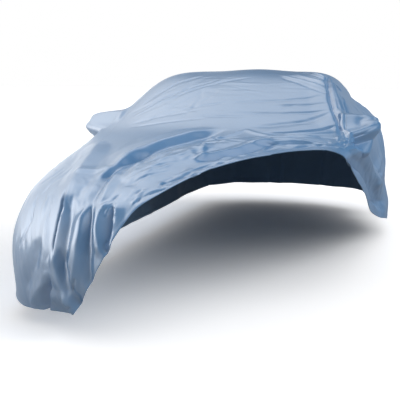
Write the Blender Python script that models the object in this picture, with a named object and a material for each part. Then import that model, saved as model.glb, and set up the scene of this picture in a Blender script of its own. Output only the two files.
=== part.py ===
"""Fitted car cover, with its hem drawn back off the left front corner.

The whole cover is one draped sheet.  Two seams part it into a centre panel and two side panels, and a
pocket for a door mirror is sewn into a hole in each side panel.

Two lengths place a point on the sheet: along runs from the front hem over the bonnet, windscreen, roof and
tail to the rear hem, and across runs from the centre line down to the side hem, with the cover's left side
positive.  Metres, +Z up, front towards -Y.  The origin lies on the centre line under the roof, where the
cover rests on what carries it.
"""
import math

import bpy
import numpy as np

COLLECTION_NAME = "car_cover"

# The cloth.
CLOTH_THICKNESS = 0.0025
SEAM_GAP = 0.0003
CLOTH_COLOUR = (0.33, 0.45, 0.62, 1.0)
CLOTH_ROUGHNESS = 0.45

# Height of the origin above the ground that the hem hangs over.
TOP_REST_HEIGHT = 1.380

# Places across the sheet, measured round it from the centre line.
QUARTER_ACROSS = 0.34
SEAM_ACROSS = 0.66
LEDGE_ACROSS = 1.06
FLANK_ACROSS = 1.44
HEM_ACROSS = 1.90

# A quarter point bows out from the straight line between the centre and the seam.
QUARTER_WIDTH_SHARE = 0.52
QUARTER_DROP_SHARE = 0.27

# Sections of the centre panel: where each lies along the sheet, then the centre line's and the right
# seam's places, with heights above the ground.
#    section        along  centre_y centre_z  seam_x seam_y  seam_z
CENTRE_SECTIONS = (
    ("front hem",    0.00, -2.22,   0.15,     0.50,  -2.14,  0.13),
    ("bumper",       0.22, -2.31,   0.33,     0.50,  -2.22,  0.33),
    ("grille",       0.45, -2.31,   0.56,     0.50,  -2.21,  0.55),
    ("nose",         0.66, -2.22,   0.74,     0.52,  -2.10,  0.73),
    ("bonnet front", 0.95, -1.98,   0.84,     0.56,  -1.87,  0.83),
    ("bonnet",       1.35, -1.60,   0.925,    0.61,  -1.51,  0.905),
    ("bonnet rear",  1.75, -1.21,   0.99,     0.68,  -1.12,  0.955),
    ("cowl",         2.05, -0.93,   1.05,     0.74,  -0.82,  1.00),
    ("windscreen",   2.45, -0.57,   1.21,     0.70,  -0.47,  1.16),
    ("roof front",   2.85, -0.18,   1.352,    0.67,  -0.10,  1.312),
    ("roof",         3.35,  0.31,   1.412,    0.635,  0.33,  1.350),
    ("roof rear",    3.95,  0.91,   1.378,    0.60,   0.93,  1.305),
    ("hatch",        4.50,  1.44,   1.25,     0.58,   1.43,  1.18),
    ("tail",         5.00,  1.91,   1.10,     0.62,   1.84,  1.04),
    ("tail edge",    5.30,  2.18,   0.97,     0.62,   2.07,  0.93),
    ("rear face",    5.62,  2.30,   0.70,     0.62,   2.17,  0.68),
    ("rear bumper",  5.90,  2.30,   0.43,     0.60,   2.17,  0.42),
    ("rear hem",     6.14,  2.20,   0.20,     0.58,   2.09,  0.20),
)

# The same sections down the side: the ledge along the doors' tops, the flank and the hem.
#    section        ledge_x ledge_y ledge_z  flank_x flank_y flank_z  hem_x  hem_y  hem_z
SIDE_SECTIONS = (
    ("front hem",    0.74,  -2.06,  0.11,    0.86,   -1.95,  0.14,    0.88,  -1.80, 0.16),
    ("bumper",       0.775, -2.08,  0.33,    0.87,   -1.89,  0.29,    0.90,  -1.64, 0.17),
    ("grille",       0.79,  -2.04,  0.54,    0.89,   -1.80,  0.43,    0.91,  -1.48, 0.18),
    ("nose",         0.80,  -1.91,  0.68,    0.91,   -1.64,  0.50,    0.91,  -1.32, 0.18),
    ("bonnet front", 0.84,  -1.67,  0.755,   0.94,   -1.41,  0.53,    0.91,  -1.14, 0.18),
    ("bonnet",       0.86,  -1.35,  0.82,    0.945,  -1.14,  0.56,    0.91,  -0.92, 0.18),
    ("bonnet rear",  0.88,  -1.02,  0.875,   0.95,   -0.87,  0.59,    0.91,  -0.70, 0.18),
    ("cowl",         0.90,  -0.76,  0.925,   0.955,  -0.63,  0.62,    0.91,  -0.48, 0.18),
    ("windscreen",   0.89,  -0.43,  0.97,    0.955,  -0.34,  0.63,    0.91,  -0.24, 0.18),
    ("roof front",   0.875, -0.09,  0.98,    0.955,  -0.05,  0.63,    0.91,   0.02, 0.18),
    ("roof",         0.87,   0.33,  0.985,   0.955,   0.33,  0.63,    0.91,   0.33, 0.18),
    ("roof rear",    0.865,  0.91,  0.985,   0.955,   0.87,  0.62,    0.91,   0.80, 0.18),
    ("hatch",        0.86,   1.38,  0.97,    0.955,   1.28,  0.62,    0.91,   1.16, 0.19),
    ("tail",         0.86,   1.70,  0.93,    0.945,   1.54,  0.60,    0.90,   1.40, 0.19),
    ("tail edge",    0.855,  1.87,  0.84,    0.93,    1.67,  0.56,    0.89,   1.53, 0.19),
    ("rear face",    0.845,  1.96,  0.60,    0.92,    1.78,  0.42,    0.88,   1.66, 0.19),
    ("rear bumper",  0.82,   1.98,  0.37,    0.89,    1.84,  0.28,    0.87,   1.76, 0.19),
    ("rear hem",     0.78,   1.95,  0.19,    0.85,    1.88,  0.19,    0.86,   1.82, 0.19),
)

# The left side stands off further where it is drawn back, with the seam nearer the mirror.
#    section        seam_x seam_y seam_z ledge_x ledge_y ledge_z flank_x flank_y flank_z hem_x hem_y hem_z
LEFT_SECTIONS = (
    ("bonnet",      0.72, -1.50, 0.905,  0.90, -1.35, 0.78,      0.96, -1.16, 0.52,      0.97, -0.94, 0.18),
    ("bonnet rear", 0.80, -1.11, 0.955,  0.93, -1.02, 0.82,      0.97, -0.86, 0.56,      0.98, -0.70, 0.18),
    ("cowl",        0.80, -0.80, 1.02,   0.94, -0.74, 0.88,      0.975, -0.60, 0.60,     0.99, -0.44, 0.17),
    ("windscreen",  0.72, -0.46, 1.165,  0.93, -0.40, 0.95,      0.975, -0.28, 0.62,     1.00, -0.12, 0.16),
    ("roof front",  0.655, -0.10, 1.315, 0.90, -0.06, 0.97,      0.975, 0.04, 0.62,      1.01, 0.20, 0.15),
    ("roof",        0.63, 0.33, 1.350,   0.88, 0.36, 0.98,       0.985, 0.44, 0.61,      1.03, 0.60, 0.14),
    ("roof rear",   0.60, 0.93, 1.305,   0.87, 0.94, 0.98,       0.985, 0.96, 0.61,      1.04, 1.02, 0.14),
    ("hatch",       0.58, 1.43, 1.18,    0.865, 1.38, 0.97,      0.975, 1.31, 0.61,      1.00, 1.24, 0.15),
    ("tail",        0.62, 1.84, 1.04,    0.86, 1.70, 0.93,       0.955, 1.56, 0.60,      0.94, 1.46, 0.17),
)

# The drawn-back hem over the centre panel: across, then where the cloth ends along the sheet.
CENTRE_HEM = (
    ("lower corner",  -0.50, 0.00),
    ("corner rise",   -0.42, 0.06),
    ("bumper",        -0.28, 0.24),
    ("grille",        -0.10, 0.47),
    ("bonnet lip",     0.02, 0.66),
    ("bonnet front",   0.12, 0.80),
    ("bonnet",         0.26, 1.18),
    ("bonnet rear",    0.40, 1.45),
    ("wing",           0.53, 1.65),
    ("left seam",      0.66, 1.71),
)

# The drawn-back hem down the left side: first as steps back from the seam, then as the side's own depth.
#    row             share of the depth, along
LEFT_FRONT_HEM = (
    ("seam",           0.00, 1.71),
    ("wing top",       0.45, 1.76),
    ("sill bend",      0.80, 1.90),
    ("corner",         1.00, 1.99),
)
#    row             along, across
LEFT_LOWER_HEM = (
    ("corner",         1.99, 1.42),
    ("front door",     2.60, 1.68),
    ("rear door",      3.15, 1.80),
    ("hanging tip",    3.75, 1.90),
)

# Folds.  Each is a soft ridge (rise above 0) or trough (rise below 0) along a curve that starts at from_,
# leans towards bend_ and ends at to_.  A curve that starts or ends past the hem runs out through it.
#    fold                    rise   spread from_along from_across bend_along bend_across to_along to_across
FOLDS = (
    # Over the bonnet, where the cloth is pushed back into a roll with a trough behind it.
    ("bonnet edge",          0.014, 0.060, 0.82, -0.50, 1.15, -0.50, 1.55, -0.60),
    ("great trough",        -0.042, 0.055, 0.92, -0.35, 1.36, -0.31, 1.90,  0.00),
    ("great roll",           0.042, 0.080, 0.88, -0.18, 1.24, -0.14, 1.74,  0.16),
    ("second trough",       -0.028, 0.065, 1.34,  0.12, 1.52,  0.20, 1.80,  0.66),
    ("second roll",          0.020, 0.065, 1.62,  0.10, 1.74,  0.28, 1.94,  0.62),
    ("hem crumple",          0.014, 0.075, 0.86,  0.00, 1.02,  0.08, 1.22,  0.18),
    ("cowl crease",          0.012, 0.060, 2.06,  0.06, 2.06,  0.34, 2.04,  0.66),
    # Down the front face.
    ("corner pleat",        -0.014, 0.040, 0.68, -0.90, 0.50, -0.93, 0.28, -1.00),
    ("corner wedge",        -0.022, 0.055, 0.42, -0.74, 0.28, -0.78, 0.10, -0.90),
    ("hem wedge",           -0.024, 0.045, 0.22, -0.66, 0.12, -0.70, 0.02, -0.80),
    ("seam pleat",          -0.024, 0.040, 0.74, -0.62, 0.56, -0.64, 0.38, -0.66),
    ("seam ridge",           0.026, 0.045, 0.72, -0.57, 0.40, -0.59, -0.10, -0.60),
    ("first trough",        -0.034, 0.045, 0.70, -0.51, 0.36, -0.52, -0.10, -0.46),
    ("first ridge",          0.032, 0.050, 0.78, -0.42, 0.40, -0.42, -0.10, -0.40),
    ("middle trough",       -0.036, 0.050, 0.68, -0.34, 0.36, -0.36, -0.10, -0.30),
    ("middle ridge",         0.028, 0.050, 0.90, -0.28, 0.48, -0.27, 0.16, -0.26),
    ("last trough",         -0.028, 0.050, 0.70, -0.20, 0.52, -0.17, 0.34, -0.19),
    # Over the windscreen and the roof's front.
    ("screen fan 1",         0.007, 0.050, 2.12, -0.56, 2.36, -0.36, 2.80, -0.20),
    ("screen fan 2",         0.006, 0.050, 2.30, -0.58, 2.60, -0.40, 3.00, -0.26),
    ("screen wrinkle 1",    -0.007, 0.040, 2.16,  0.22, 2.14,  0.42, 2.20,  0.60),
    ("screen wrinkle 2",    -0.006, 0.040, 2.48,  0.24, 2.50,  0.42, 2.52,  0.60),
    ("roof corner pleat",    0.010, 0.040, 3.02,  0.30, 2.92,  0.44, 2.74,  0.58),
    # Down the left side, between the roof's edge, the mirror pocket and the hanging tip.
    ("pillar trough",       -0.022, 0.050, 3.15,  0.72, 2.60,  0.72, 2.08,  0.74),
    ("window hollow left",  -0.040, 0.150, 4.60,  0.90, 3.60,  0.88, 2.70,  0.86),
    ("sleeve top left",      0.030, 0.080, 2.36,  0.70, 2.34,  0.80, 2.30,  0.92),
    ("flap fold",            0.030, 0.070, 1.98,  1.06, 2.16,  1.30, 2.86,  1.62),
    ("flap underside",      -0.030, 0.070, 1.78,  0.96, 1.92,  1.30, 2.44,  1.64),
    ("door drape left",     -0.024, 0.080, 2.56,  1.18, 3.00,  1.34, 3.60,  1.42),
    ("tip crease",          -0.026, 0.060, 3.10,  1.56, 3.50,  1.60, 4.20,  1.54),
    ("tip lobe",             0.026, 0.090, 3.30,  1.80, 3.70,  1.78, 4.30,  1.76),
    # Down the right side.
    ("window hollow right", -0.024, 0.150, 4.60, -0.90, 3.60, -0.88, 2.70, -0.86),
    ("sleeve top right",     0.024, 0.080, 2.36, -0.70, 2.34, -0.80, 2.30, -0.92),
    ("wing drape right",    -0.016, 0.080, 1.10, -1.10, 1.24, -1.40, 1.20, -2.00),
    ("pocket drape right",  -0.022, 0.080, 2.20, -1.12, 2.16, -1.40, 2.00, -2.00),
    ("door drape right",     0.018, 0.090, 2.60, -1.14, 2.70, -1.50, 2.62, -2.00),
    ("sill drape right",    -0.018, 0.090, 3.20, -1.20, 3.30, -1.50, 3.24, -2.00),
    ("arch drape right",    -0.016, 0.090, 4.20, -1.10, 4.10, -1.50, 4.30, -2.00),
    # Over the tail and round the rear corners.
    ("arch drape left",     -0.018, 0.090, 4.50,  1.10, 4.56,  1.50, 4.44,  2.00),
    ("tail sag",            -0.012, 0.160, 4.86, -0.40, 4.80,  0.00, 4.86,  0.40),
    ("rear pleat right",    -0.024, 0.070, 5.34, -0.70, 5.70, -0.76, 6.30, -0.72),
    ("rear ridge right",     0.018, 0.070, 5.40, -0.56, 5.76, -0.54, 6.30, -0.50),
    ("rear pleat left",     -0.024, 0.070, 5.32,  0.72, 5.70,  0.80, 6.30,  0.78),
    ("rear ridge left",      0.018, 0.070, 5.42,  0.56, 5.76,  0.50, 6.30,  0.46),
    ("rear drape",          -0.014, 0.090, 5.46,  0.06, 5.76,  0.02, 6.30, -0.04),
)
FOLD_CURVE_POINTS = 25
FOLD_FADE_SHARE = 0.22

# Steps of the sheet's grid.  They are closer over the bonnet and windscreen, where most folds lie.
FRONT_STEPS = 38
REAR_STEPS = 15
FRONT_SHARE = 0.52
PLEATS_END_ACROSS = 0.16
PLEATED_STEPS = 23
PLAIN_STEPS = 10
SIDE_STEPS = 13

# Half the length and height of the hole that each mirror pocket is sewn into, and its middle.
POCKET_ALONG = 2.26
POCKET_ACROSS = 0.935
POCKET_HALF_LENGTH = 0.20
POCKET_HALF_HEIGHT = 0.21
POCKET_DIVISIONS = 3
POCKET_FLATNESS = 4.0
POCKET_SHOULDER = 1.5
# How far each pocket's middle stands out of its hole, towards the side, the rear and up.
#    side      x      y     z
POCKET_REACH = {
    "right": (-0.185, 0.05, 0.015),
    "left": (0.150, 0.08, 0.060),
}

# Step over which a slope is measured, and the angle past which an edge is shaded sharp.
SLOPE_STEP = 0.002
SHARP_ANGLE_DEGREES = 50


def clear_scene():
    """Remove every object, so that only the cover is left."""
    for item in list(bpy.data.objects):
        bpy.data.objects.remove(item, do_unlink=True)


def sheet_net():
    """Places of the sheet's guide points: a row for each section, from the right hem to the left hem."""
    left_rows = {row[0]: np.array(row[1:]).reshape(4, 3) for row in LEFT_SECTIONS}
    rows = []
    for centre_row, side_row in zip(CENTRE_SECTIONS, SIDE_SECTIONS):
        centre = np.array((0.0, centre_row[2], centre_row[3]))
        right_side = np.array(centre_row[4:] + side_row[1:]).reshape(4, 3)
        left_side = left_rows.get(centre_row[0], right_side)
        bow = np.array((QUARTER_WIDTH_SHARE, QUARTER_DROP_SHARE, QUARTER_DROP_SHARE))
        half_rows = []
        for side in (right_side, left_side):
            quarter = centre + (side[0] - centre) * bow
            half_rows.append(np.vstack((quarter, side)))
        mirrored = half_rows[0][::-1] * (-1, 1, 1)
        rows.append(np.vstack((mirrored, centre, half_rows[1])))
    net = np.array(rows)
    net[:, :, 2] -= TOP_REST_HEIGHT
    return net


def spline_weights(knots, places):
    """Weights that carry values at the knots onto a natural cubic curve, a row for each place."""
    count = len(knots)
    steps = np.diff(knots)
    bending = np.eye(count)
    turning = np.zeros((count, count))
    for row in range(1, count - 1):
        before = steps[row - 1]
        after = steps[row]
        bending[row, row - 1:row + 2] = before, 2 * (before + after), after
        turning[row, row - 1:row + 2] = 6 / before, -6 / before - 6 / after, 6 / after
    curvature = np.linalg.solve(bending, turning)
    cell = np.clip(np.searchsorted(knots, places, side="right") - 1, 0, count - 2)
    width = steps[cell]
    low = (knots[cell + 1] - places) / width
    high = (places - knots[cell]) / width
    weights = ((low**3 - low) * width**2 / 6)[:, None] * curvature[cell]
    weights += ((high**3 - high) * width**2 / 6)[:, None] * curvature[cell + 1]
    rows = np.arange(len(places))
    weights[rows, cell] += low
    weights[rows, cell + 1] += high
    return weights


def smooth_line(rows, places):
    """Monotone cubic curve through the rows (place, value), read at the places."""
    knots = np.array([row[-2] for row in rows])
    values = np.array([row[-1] for row in rows])
    steps = np.diff(knots)
    slopes = np.diff(values) / steps
    tangents = np.zeros(len(knots))
    tangents[-1] = slopes[-1]
    both = slopes[:-1] * slopes[1:]
    tangents[1:-1] = np.where(both > 0, 2 * both / np.maximum(slopes[:-1] + slopes[1:], 1e-9), 0.0)
    spot = np.clip(places, knots[0], knots[-1])
    cell = np.clip(np.searchsorted(knots, spot, side="right") - 1, 0, len(knots) - 2)
    width = steps[cell]
    part = (spot - knots[cell]) / width
    start = (1 + 2 * part) * (1 - part)**2 * values[cell]
    start += part * (1 - part)**2 * width * tangents[cell]
    end = part**2 * (3 - 2 * part) * values[cell + 1]
    end += part**2 * (part - 1) * width * tangents[cell + 1]
    return start + end


SECTION_KNOTS = np.array([row[1] for row in CENTRE_SECTIONS])
HALF_KNOTS = np.array((QUARTER_ACROSS, SEAM_ACROSS, LEDGE_ACROSS, FLANK_ACROSS, HEM_ACROSS))
ACROSS_KNOTS = np.concatenate((-HALF_KNOTS[::-1], (0.0,), HALF_KNOTS))
SHEET_NET = sheet_net()
SHEET_LENGTH = CENTRE_SECTIONS[-1][1]


def smooth_sheet(along, across):
    """Points of the sheet before its folds: cubic curves through the sections, both ways."""
    along_weights = spline_weights(SECTION_KNOTS, along.ravel())
    across_weights = spline_weights(ACROSS_KNOTS, across.ravel())
    points = np.einsum("ni,nj,ijk->nk", along_weights, across_weights, SHEET_NET, optimize=True)
    return points.reshape(along.shape + (3,))


def outward(surface, along, across):
    """Unit normals of a surface function, pointing out of the cover."""
    ahead = surface(along + SLOPE_STEP, across) - surface(along - SLOPE_STEP, across)
    aside = surface(along, across + SLOPE_STEP) - surface(along, across - SLOPE_STEP)
    normals = np.cross(aside, ahead)
    return normals / np.linalg.norm(normals, axis=-1, keepdims=True)


def fold_height(along, across):
    """Sum of all folds' heights: each falls off with the distance from its curve and fades at its ends."""
    height = np.zeros(along.shape)
    share = np.linspace(0.0, 1.0, FOLD_CURVE_POINTS)
    fade = np.clip(np.minimum(share, 1 - share) / FOLD_FADE_SHARE, 0.0, 1.0)
    strength = fade**2 * (3 - 2 * fade)
    for _, rise, spread, *places in FOLDS:
        start, bend, end = np.array(places).reshape(3, 2)
        curve = np.outer((1 - share)**2, start)
        curve += np.outer(2 * share * (1 - share), bend)
        curve += np.outer(share**2, end)
        distance = np.hypot(along[..., None] - curve[:, 0], across[..., None] - curve[:, 1])
        nearness = np.exp(-(distance / spread)**2) * strength
        height += rise * nearness.max(axis=-1)
    return height


def folded_sheet(along, across):
    """Points of the sheet with its folds, which stand off the smooth sheet along its normals."""
    normals = outward(smooth_sheet, along, across)
    return smooth_sheet(along, across) + normals * fold_height(along, across)[..., None]


def lengthwise_shares():
    """Grid lines from the front edge, 0, to the rear hem, 1."""
    front = np.linspace(0.0, FRONT_SHARE, FRONT_STEPS + 1)
    rear = np.linspace(FRONT_SHARE, 1.0, REAR_STEPS + 1)
    return np.concatenate((front[:-1], rear))


def centre_places():
    """Along and across of the centre panel's grid, whose front edge is the drawn-back hem."""
    pleated = np.linspace(-SEAM_ACROSS, PLEATS_END_ACROSS, PLEATED_STEPS + 1)
    plain = np.linspace(PLEATS_END_ACROSS, SEAM_ACROSS, PLAIN_STEPS + 1)
    across = np.concatenate((pleated[:-1], plain))
    front = smooth_line(CENTRE_HEM, across)
    shares = lengthwise_shares()[:, None]
    along = front + (SHEET_LENGTH - front) * shares
    return along, np.broadcast_to(across, along.shape)


def right_places():
    """Along and across of the right panel's grid, from its hem to its seam."""
    across = -np.linspace(HEM_ACROSS, SEAM_ACROSS, SIDE_STEPS + 1)
    along = SHEET_LENGTH * lengthwise_shares()[:, None]
    return np.broadcast_arrays(along, across)


def left_places():
    """Along and across of the left panel's grid, from its seam to its drawn-back hem."""
    depth_share = np.linspace(0.0, 1.0, SIDE_STEPS + 1)
    front = smooth_line(LEFT_FRONT_HEM, depth_share)
    along = front + (SHEET_LENGTH - front) * lengthwise_shares()[:, None]
    hem = smooth_line(LEFT_LOWER_HEM, along)
    return along, SEAM_ACROSS + (hem - SEAM_ACROSS) * depth_share


def cloth_grid(along, across):
    """A panel's points and normals on its grid, stacked as one array."""
    return np.stack((folded_sheet(along, across), outward(folded_sheet, along, across)))


def draw_in_edge(grid, column, neighbour):
    """Move one edge column of a panel half a seam gap towards its neighbour."""
    step = grid[0, :, neighbour] - grid[0, :, column]
    length = np.linalg.norm(step, axis=-1, keepdims=True)
    grid[0, :, column] += step / length * SEAM_GAP / 2


def pocket_block(along, across):
    """First and last grid lines of the hole for a mirror pocket, as (rows, columns)."""
    middle_row = np.abs(along[:, along.shape[1] // 3] - POCKET_ALONG).argmin()
    offsets = np.abs(across[middle_row]) - POCKET_ACROSS
    columns = np.flatnonzero(np.abs(offsets) <= POCKET_HALF_HEIGHT + SEAM_GAP)
    distances = along[:, columns[0]] - POCKET_ALONG
    rows = np.flatnonzero(np.abs(distances) <= POCKET_HALF_LENGTH + SEAM_GAP)
    return (rows[0], rows[-1]), (columns[0], columns[-1])


def finer_grid(grid, rows, columns):
    """Straight-line division of a block of a grid, drawn in by the seam gap all round."""
    block = grid[:, rows[0]:rows[1] + 1, columns[0]:columns[1] + 1]
    for axis in (1, 2):
        cells = block.shape[axis] - 1
        edge_step = np.diff(block[0], axis=axis - 1)
        inset = SEAM_GAP / np.linalg.norm(edge_step, axis=-1).mean()
        places = np.linspace(0.0, cells, cells * POCKET_DIVISIONS + 1)
        places[0] = inset
        places[-1] = cells - inset
        cell = np.clip(places.astype(int), 0, cells - 1)
        part = (places - cell).reshape((-1, 1) if axis == 2 else (-1, 1, 1))
        low = np.take(block, cell, axis=axis)
        high = np.take(block, cell + 1, axis=axis)
        block = low + (high - low) * part
    return block


def grid_normals(points):
    """Unit normals of a grid of points, by the slopes between neighbours."""
    normals = np.cross(np.gradient(points, axis=1), np.gradient(points, axis=0))
    return normals / np.linalg.norm(normals, axis=-1, keepdims=True)


def pocket_grid(panel_grid, rows, columns, reach):
    """A mirror pocket: its hole's surface, pushed out by a flat-topped hump that is level at the rim."""
    grid = finer_grid(panel_grid, rows, columns)
    down = np.abs(np.linspace(-1.0, 1.0, grid.shape[1]))[:, None]
    over = np.abs(np.linspace(-1.0, 1.0, grid.shape[2]))
    hump = ((1 - down**POCKET_FLATNESS) * (1 - over**POCKET_FLATNESS))**POCKET_SHOULDER
    grid[0] += hump[..., None] * np.array(reach)
    inner = (slice(1, -1), slice(1, -1))
    grid[1][inner] = grid_normals(grid[0])[inner]
    return grid


def sheet_faces(kept_cells, points):
    """Triangles of both faces of a sheet and of the walls round its edges and holes.

    Each cell is parted along its shorter diagonal, so that folds stay smooth where the grid leans.
    """
    corner_count = len(points)
    rows, columns = np.nonzero(kept_cells)
    width = kept_cells.shape[1] + 1
    low = rows * width + columns
    quads = np.stack((low, low + 1, low + width + 1, low + width), axis=1)
    rising = np.linalg.norm(points[quads[:, 2]] - points[quads[:, 0]], axis=1)
    falling = np.linalg.norm(points[quads[:, 3]] - points[quads[:, 1]], axis=1)
    turned = np.where((falling < rising)[:, None], np.roll(quads, -1, axis=1), quads)
    outer = np.vstack((turned[:, (0, 1, 2)], turned[:, (0, 2, 3)]))
    inner = outer[:, ::-1] + corner_count
    edges = np.vstack([outer[:, pair] for pair in ((0, 1), (1, 2), (2, 0))])
    keys = edges[:, 0] * corner_count + edges[:, 1]
    partners = edges[:, 1] * corner_count + edges[:, 0]
    rim = edges[~np.isin(partners, keys)]
    first = rim[:, 0]
    second = rim[:, 1]
    walls = np.vstack((
        np.stack((second, first, np.maximum(first, second) + corner_count), axis=1),
        np.stack((np.minimum(first, second), first + corner_count, second + corner_count), axis=1),
    ))
    return np.vstack((outer, inner, walls))


def build_sheet(name, grid, kept_cells, material, collection):
    """Make one piece of cloth: its middle surface moved half its thickness both ways, closed at the rim.

    Both faces follow the same normals, so that pieces that share a seam meet in parallel walls.
    """
    points = grid[0].reshape(-1, 3)
    normals = grid[1].reshape(-1, 3)
    outer = points + normals * CLOTH_THICKNESS / 2
    inner = points - normals * CLOTH_THICKNESS / 2
    faces = sheet_faces(kept_cells, points)
    used, numbers = np.unique(faces, return_inverse=True)
    corners = np.vstack((outer, inner))[used]
    mesh = bpy.data.meshes.new(name)
    mesh.from_pydata(corners.tolist(), [], numbers.reshape(-1, 3).tolist())
    mesh.materials.append(material)
    mesh.shade_smooth()
    mesh.set_sharp_from_angle(angle=math.radians(SHARP_ANGLE_DEGREES))
    piece = bpy.data.objects.new(name, mesh)
    collection.objects.link(piece)
    return piece


def cloth_material(name):
    """Smooth blue cloth for one piece."""
    material = bpy.data.materials.new(name + "_cloth")
    material.use_nodes = True
    shader = material.node_tree.nodes["Principled BSDF"]
    shader.inputs["Base Color"].default_value = CLOTH_COLOUR
    shader.inputs["Roughness"].default_value = CLOTH_ROUGHNESS
    shader.inputs["Metallic"].default_value = 0.0
    return material


def build_centre_panel(collection):
    """The long panel from the front hem over the roof to the rear hem, drawn in at both seams."""
    grid = cloth_grid(*centre_places())
    draw_in_edge(grid, 0, 1)
    draw_in_edge(grid, -1, -2)
    kept = np.ones((grid.shape[1] - 1, grid.shape[2] - 1), dtype=bool)
    build_sheet("centre_panel", grid, kept, cloth_material("centre_panel"), collection)


def build_side(side, places, seam_column, seam_neighbour, collection):
    """One side panel with its hole, and the mirror pocket sewn into the hole."""
    along, across = places
    grid = cloth_grid(along, across)
    draw_in_edge(grid, seam_column, seam_neighbour)
    rows, columns = pocket_block(along, across)
    kept = np.ones((grid.shape[1] - 1, grid.shape[2] - 1), dtype=bool)
    kept[rows[0]:rows[1], columns[0]:columns[1]] = False
    panel_name = "side_panel_" + side
    build_sheet(panel_name, grid, kept, cloth_material(panel_name), collection)
    pocket = pocket_grid(grid, rows, columns, POCKET_REACH[side])
    pocket_kept = np.ones((pocket.shape[1] - 1, pocket.shape[2] - 1), dtype=bool)
    pocket_name = "mirror_pocket_" + side
    build_sheet(pocket_name, pocket, pocket_kept, cloth_material(pocket_name), collection)


def main():
    clear_scene()
    collection = bpy.data.collections.new(COLLECTION_NAME)
    bpy.context.scene.collection.children.link(collection)
    build_centre_panel(collection)
    build_side("right", right_places(), -1, -2, collection)
    build_side("left", left_places(), 0, 1, collection)


main()
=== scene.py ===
"""Looks of the fitted car cover: cloth panels with their creases, mirror pockets, hems, seams and a studio.

Two lengths place a point on the sheet: along runs from the front hem over the cover's bonnet, screen, roof
and tail parts to the rear hem, and across runs from the centre line down to the side hem, with the cover's
left side positive.  Metres, +Z up, front towards -Y, the origin under the top, 1.380 m above the floor.
"""
import math

import bpy
import numpy as np
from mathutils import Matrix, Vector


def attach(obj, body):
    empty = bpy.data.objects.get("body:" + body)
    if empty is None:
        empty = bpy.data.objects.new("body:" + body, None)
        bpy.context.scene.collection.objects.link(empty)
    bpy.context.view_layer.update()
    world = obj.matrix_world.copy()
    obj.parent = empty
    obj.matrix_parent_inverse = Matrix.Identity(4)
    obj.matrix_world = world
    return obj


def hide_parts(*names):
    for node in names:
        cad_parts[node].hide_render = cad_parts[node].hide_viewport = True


bl_info = {
    "name": "Fitted car cover",
    "version": (1, 0, 0),
    "blender": (4, 5, 0),
    "location": "3D View > Sidebar > Cover",
    "description": "Builds a draped, fitted car cover over its packed frame",
    "category": "Add Mesh",
}

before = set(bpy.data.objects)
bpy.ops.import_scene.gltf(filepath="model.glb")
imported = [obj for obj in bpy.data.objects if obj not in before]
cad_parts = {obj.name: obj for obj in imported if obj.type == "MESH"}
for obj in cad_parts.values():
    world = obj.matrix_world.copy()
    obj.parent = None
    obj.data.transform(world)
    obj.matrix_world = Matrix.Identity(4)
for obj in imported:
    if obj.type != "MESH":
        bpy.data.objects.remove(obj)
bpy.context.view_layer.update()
BODY = "root"

# Height of the origin above the floor.
TOP_REST_HEIGHT = 1.380

# Places across the sheet, measured round it from the centre line.
QUARTER_ACROSS = 0.34
SEAM_ACROSS = 0.66
LEDGE_ACROSS = 1.06
FLANK_ACROSS = 1.44
HEM_ACROSS = 1.90
# Shares of the way from the centre line to the seam that the sheet has gone out and down at its quarter.
QUARTER_WIDTH_SHARE = 0.52
QUARTER_DROP_SHARE = 0.27

# Sections of the centre panel: along, the centre line's place, then the right seam's place.
#    section        along  centre_y centre_z  seam_x seam_y  seam_z
CENTRE_SECTIONS = (
    ("front hem",    0.00, -2.22,   0.15,     0.50,  -2.14,  0.13),
    ("bumper",       0.22, -2.31,   0.33,     0.50,  -2.22,  0.33),
    ("grille",       0.45, -2.31,   0.56,     0.50,  -2.21,  0.55),
    ("nose",         0.66, -2.22,   0.74,     0.52,  -2.10,  0.73),
    ("bonnet front", 0.95, -1.98,   0.84,     0.56,  -1.87,  0.83),
    ("bonnet",       1.35, -1.60,   0.925,    0.61,  -1.51,  0.905),
    ("bonnet rear",  1.75, -1.21,   0.99,     0.68,  -1.12,  0.955),
    ("cowl",         2.05, -0.93,   1.05,     0.74,  -0.82,  1.00),
    ("windscreen",   2.45, -0.57,   1.21,     0.70,  -0.47,  1.16),
    ("roof front",   2.85, -0.18,   1.352,    0.67,  -0.10,  1.312),
    ("roof",         3.35,  0.31,   1.412,    0.635,  0.33,  1.350),
    ("roof rear",    3.95,  0.91,   1.378,    0.60,   0.93,  1.305),
    ("hatch",        4.50,  1.44,   1.25,     0.58,   1.43,  1.18),
    ("tail",         5.00,  1.91,   1.10,     0.62,   1.84,  1.04),
    ("tail edge",    5.30,  2.18,   0.97,     0.62,   2.07,  0.93),
    ("rear face",    5.62,  2.30,   0.70,     0.62,   2.17,  0.68),
    ("rear bumper",  5.90,  2.30,   0.43,     0.60,   2.17,  0.42),
    ("rear hem",     6.14,  2.20,   0.20,     0.58,   2.09,  0.20),
)

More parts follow.
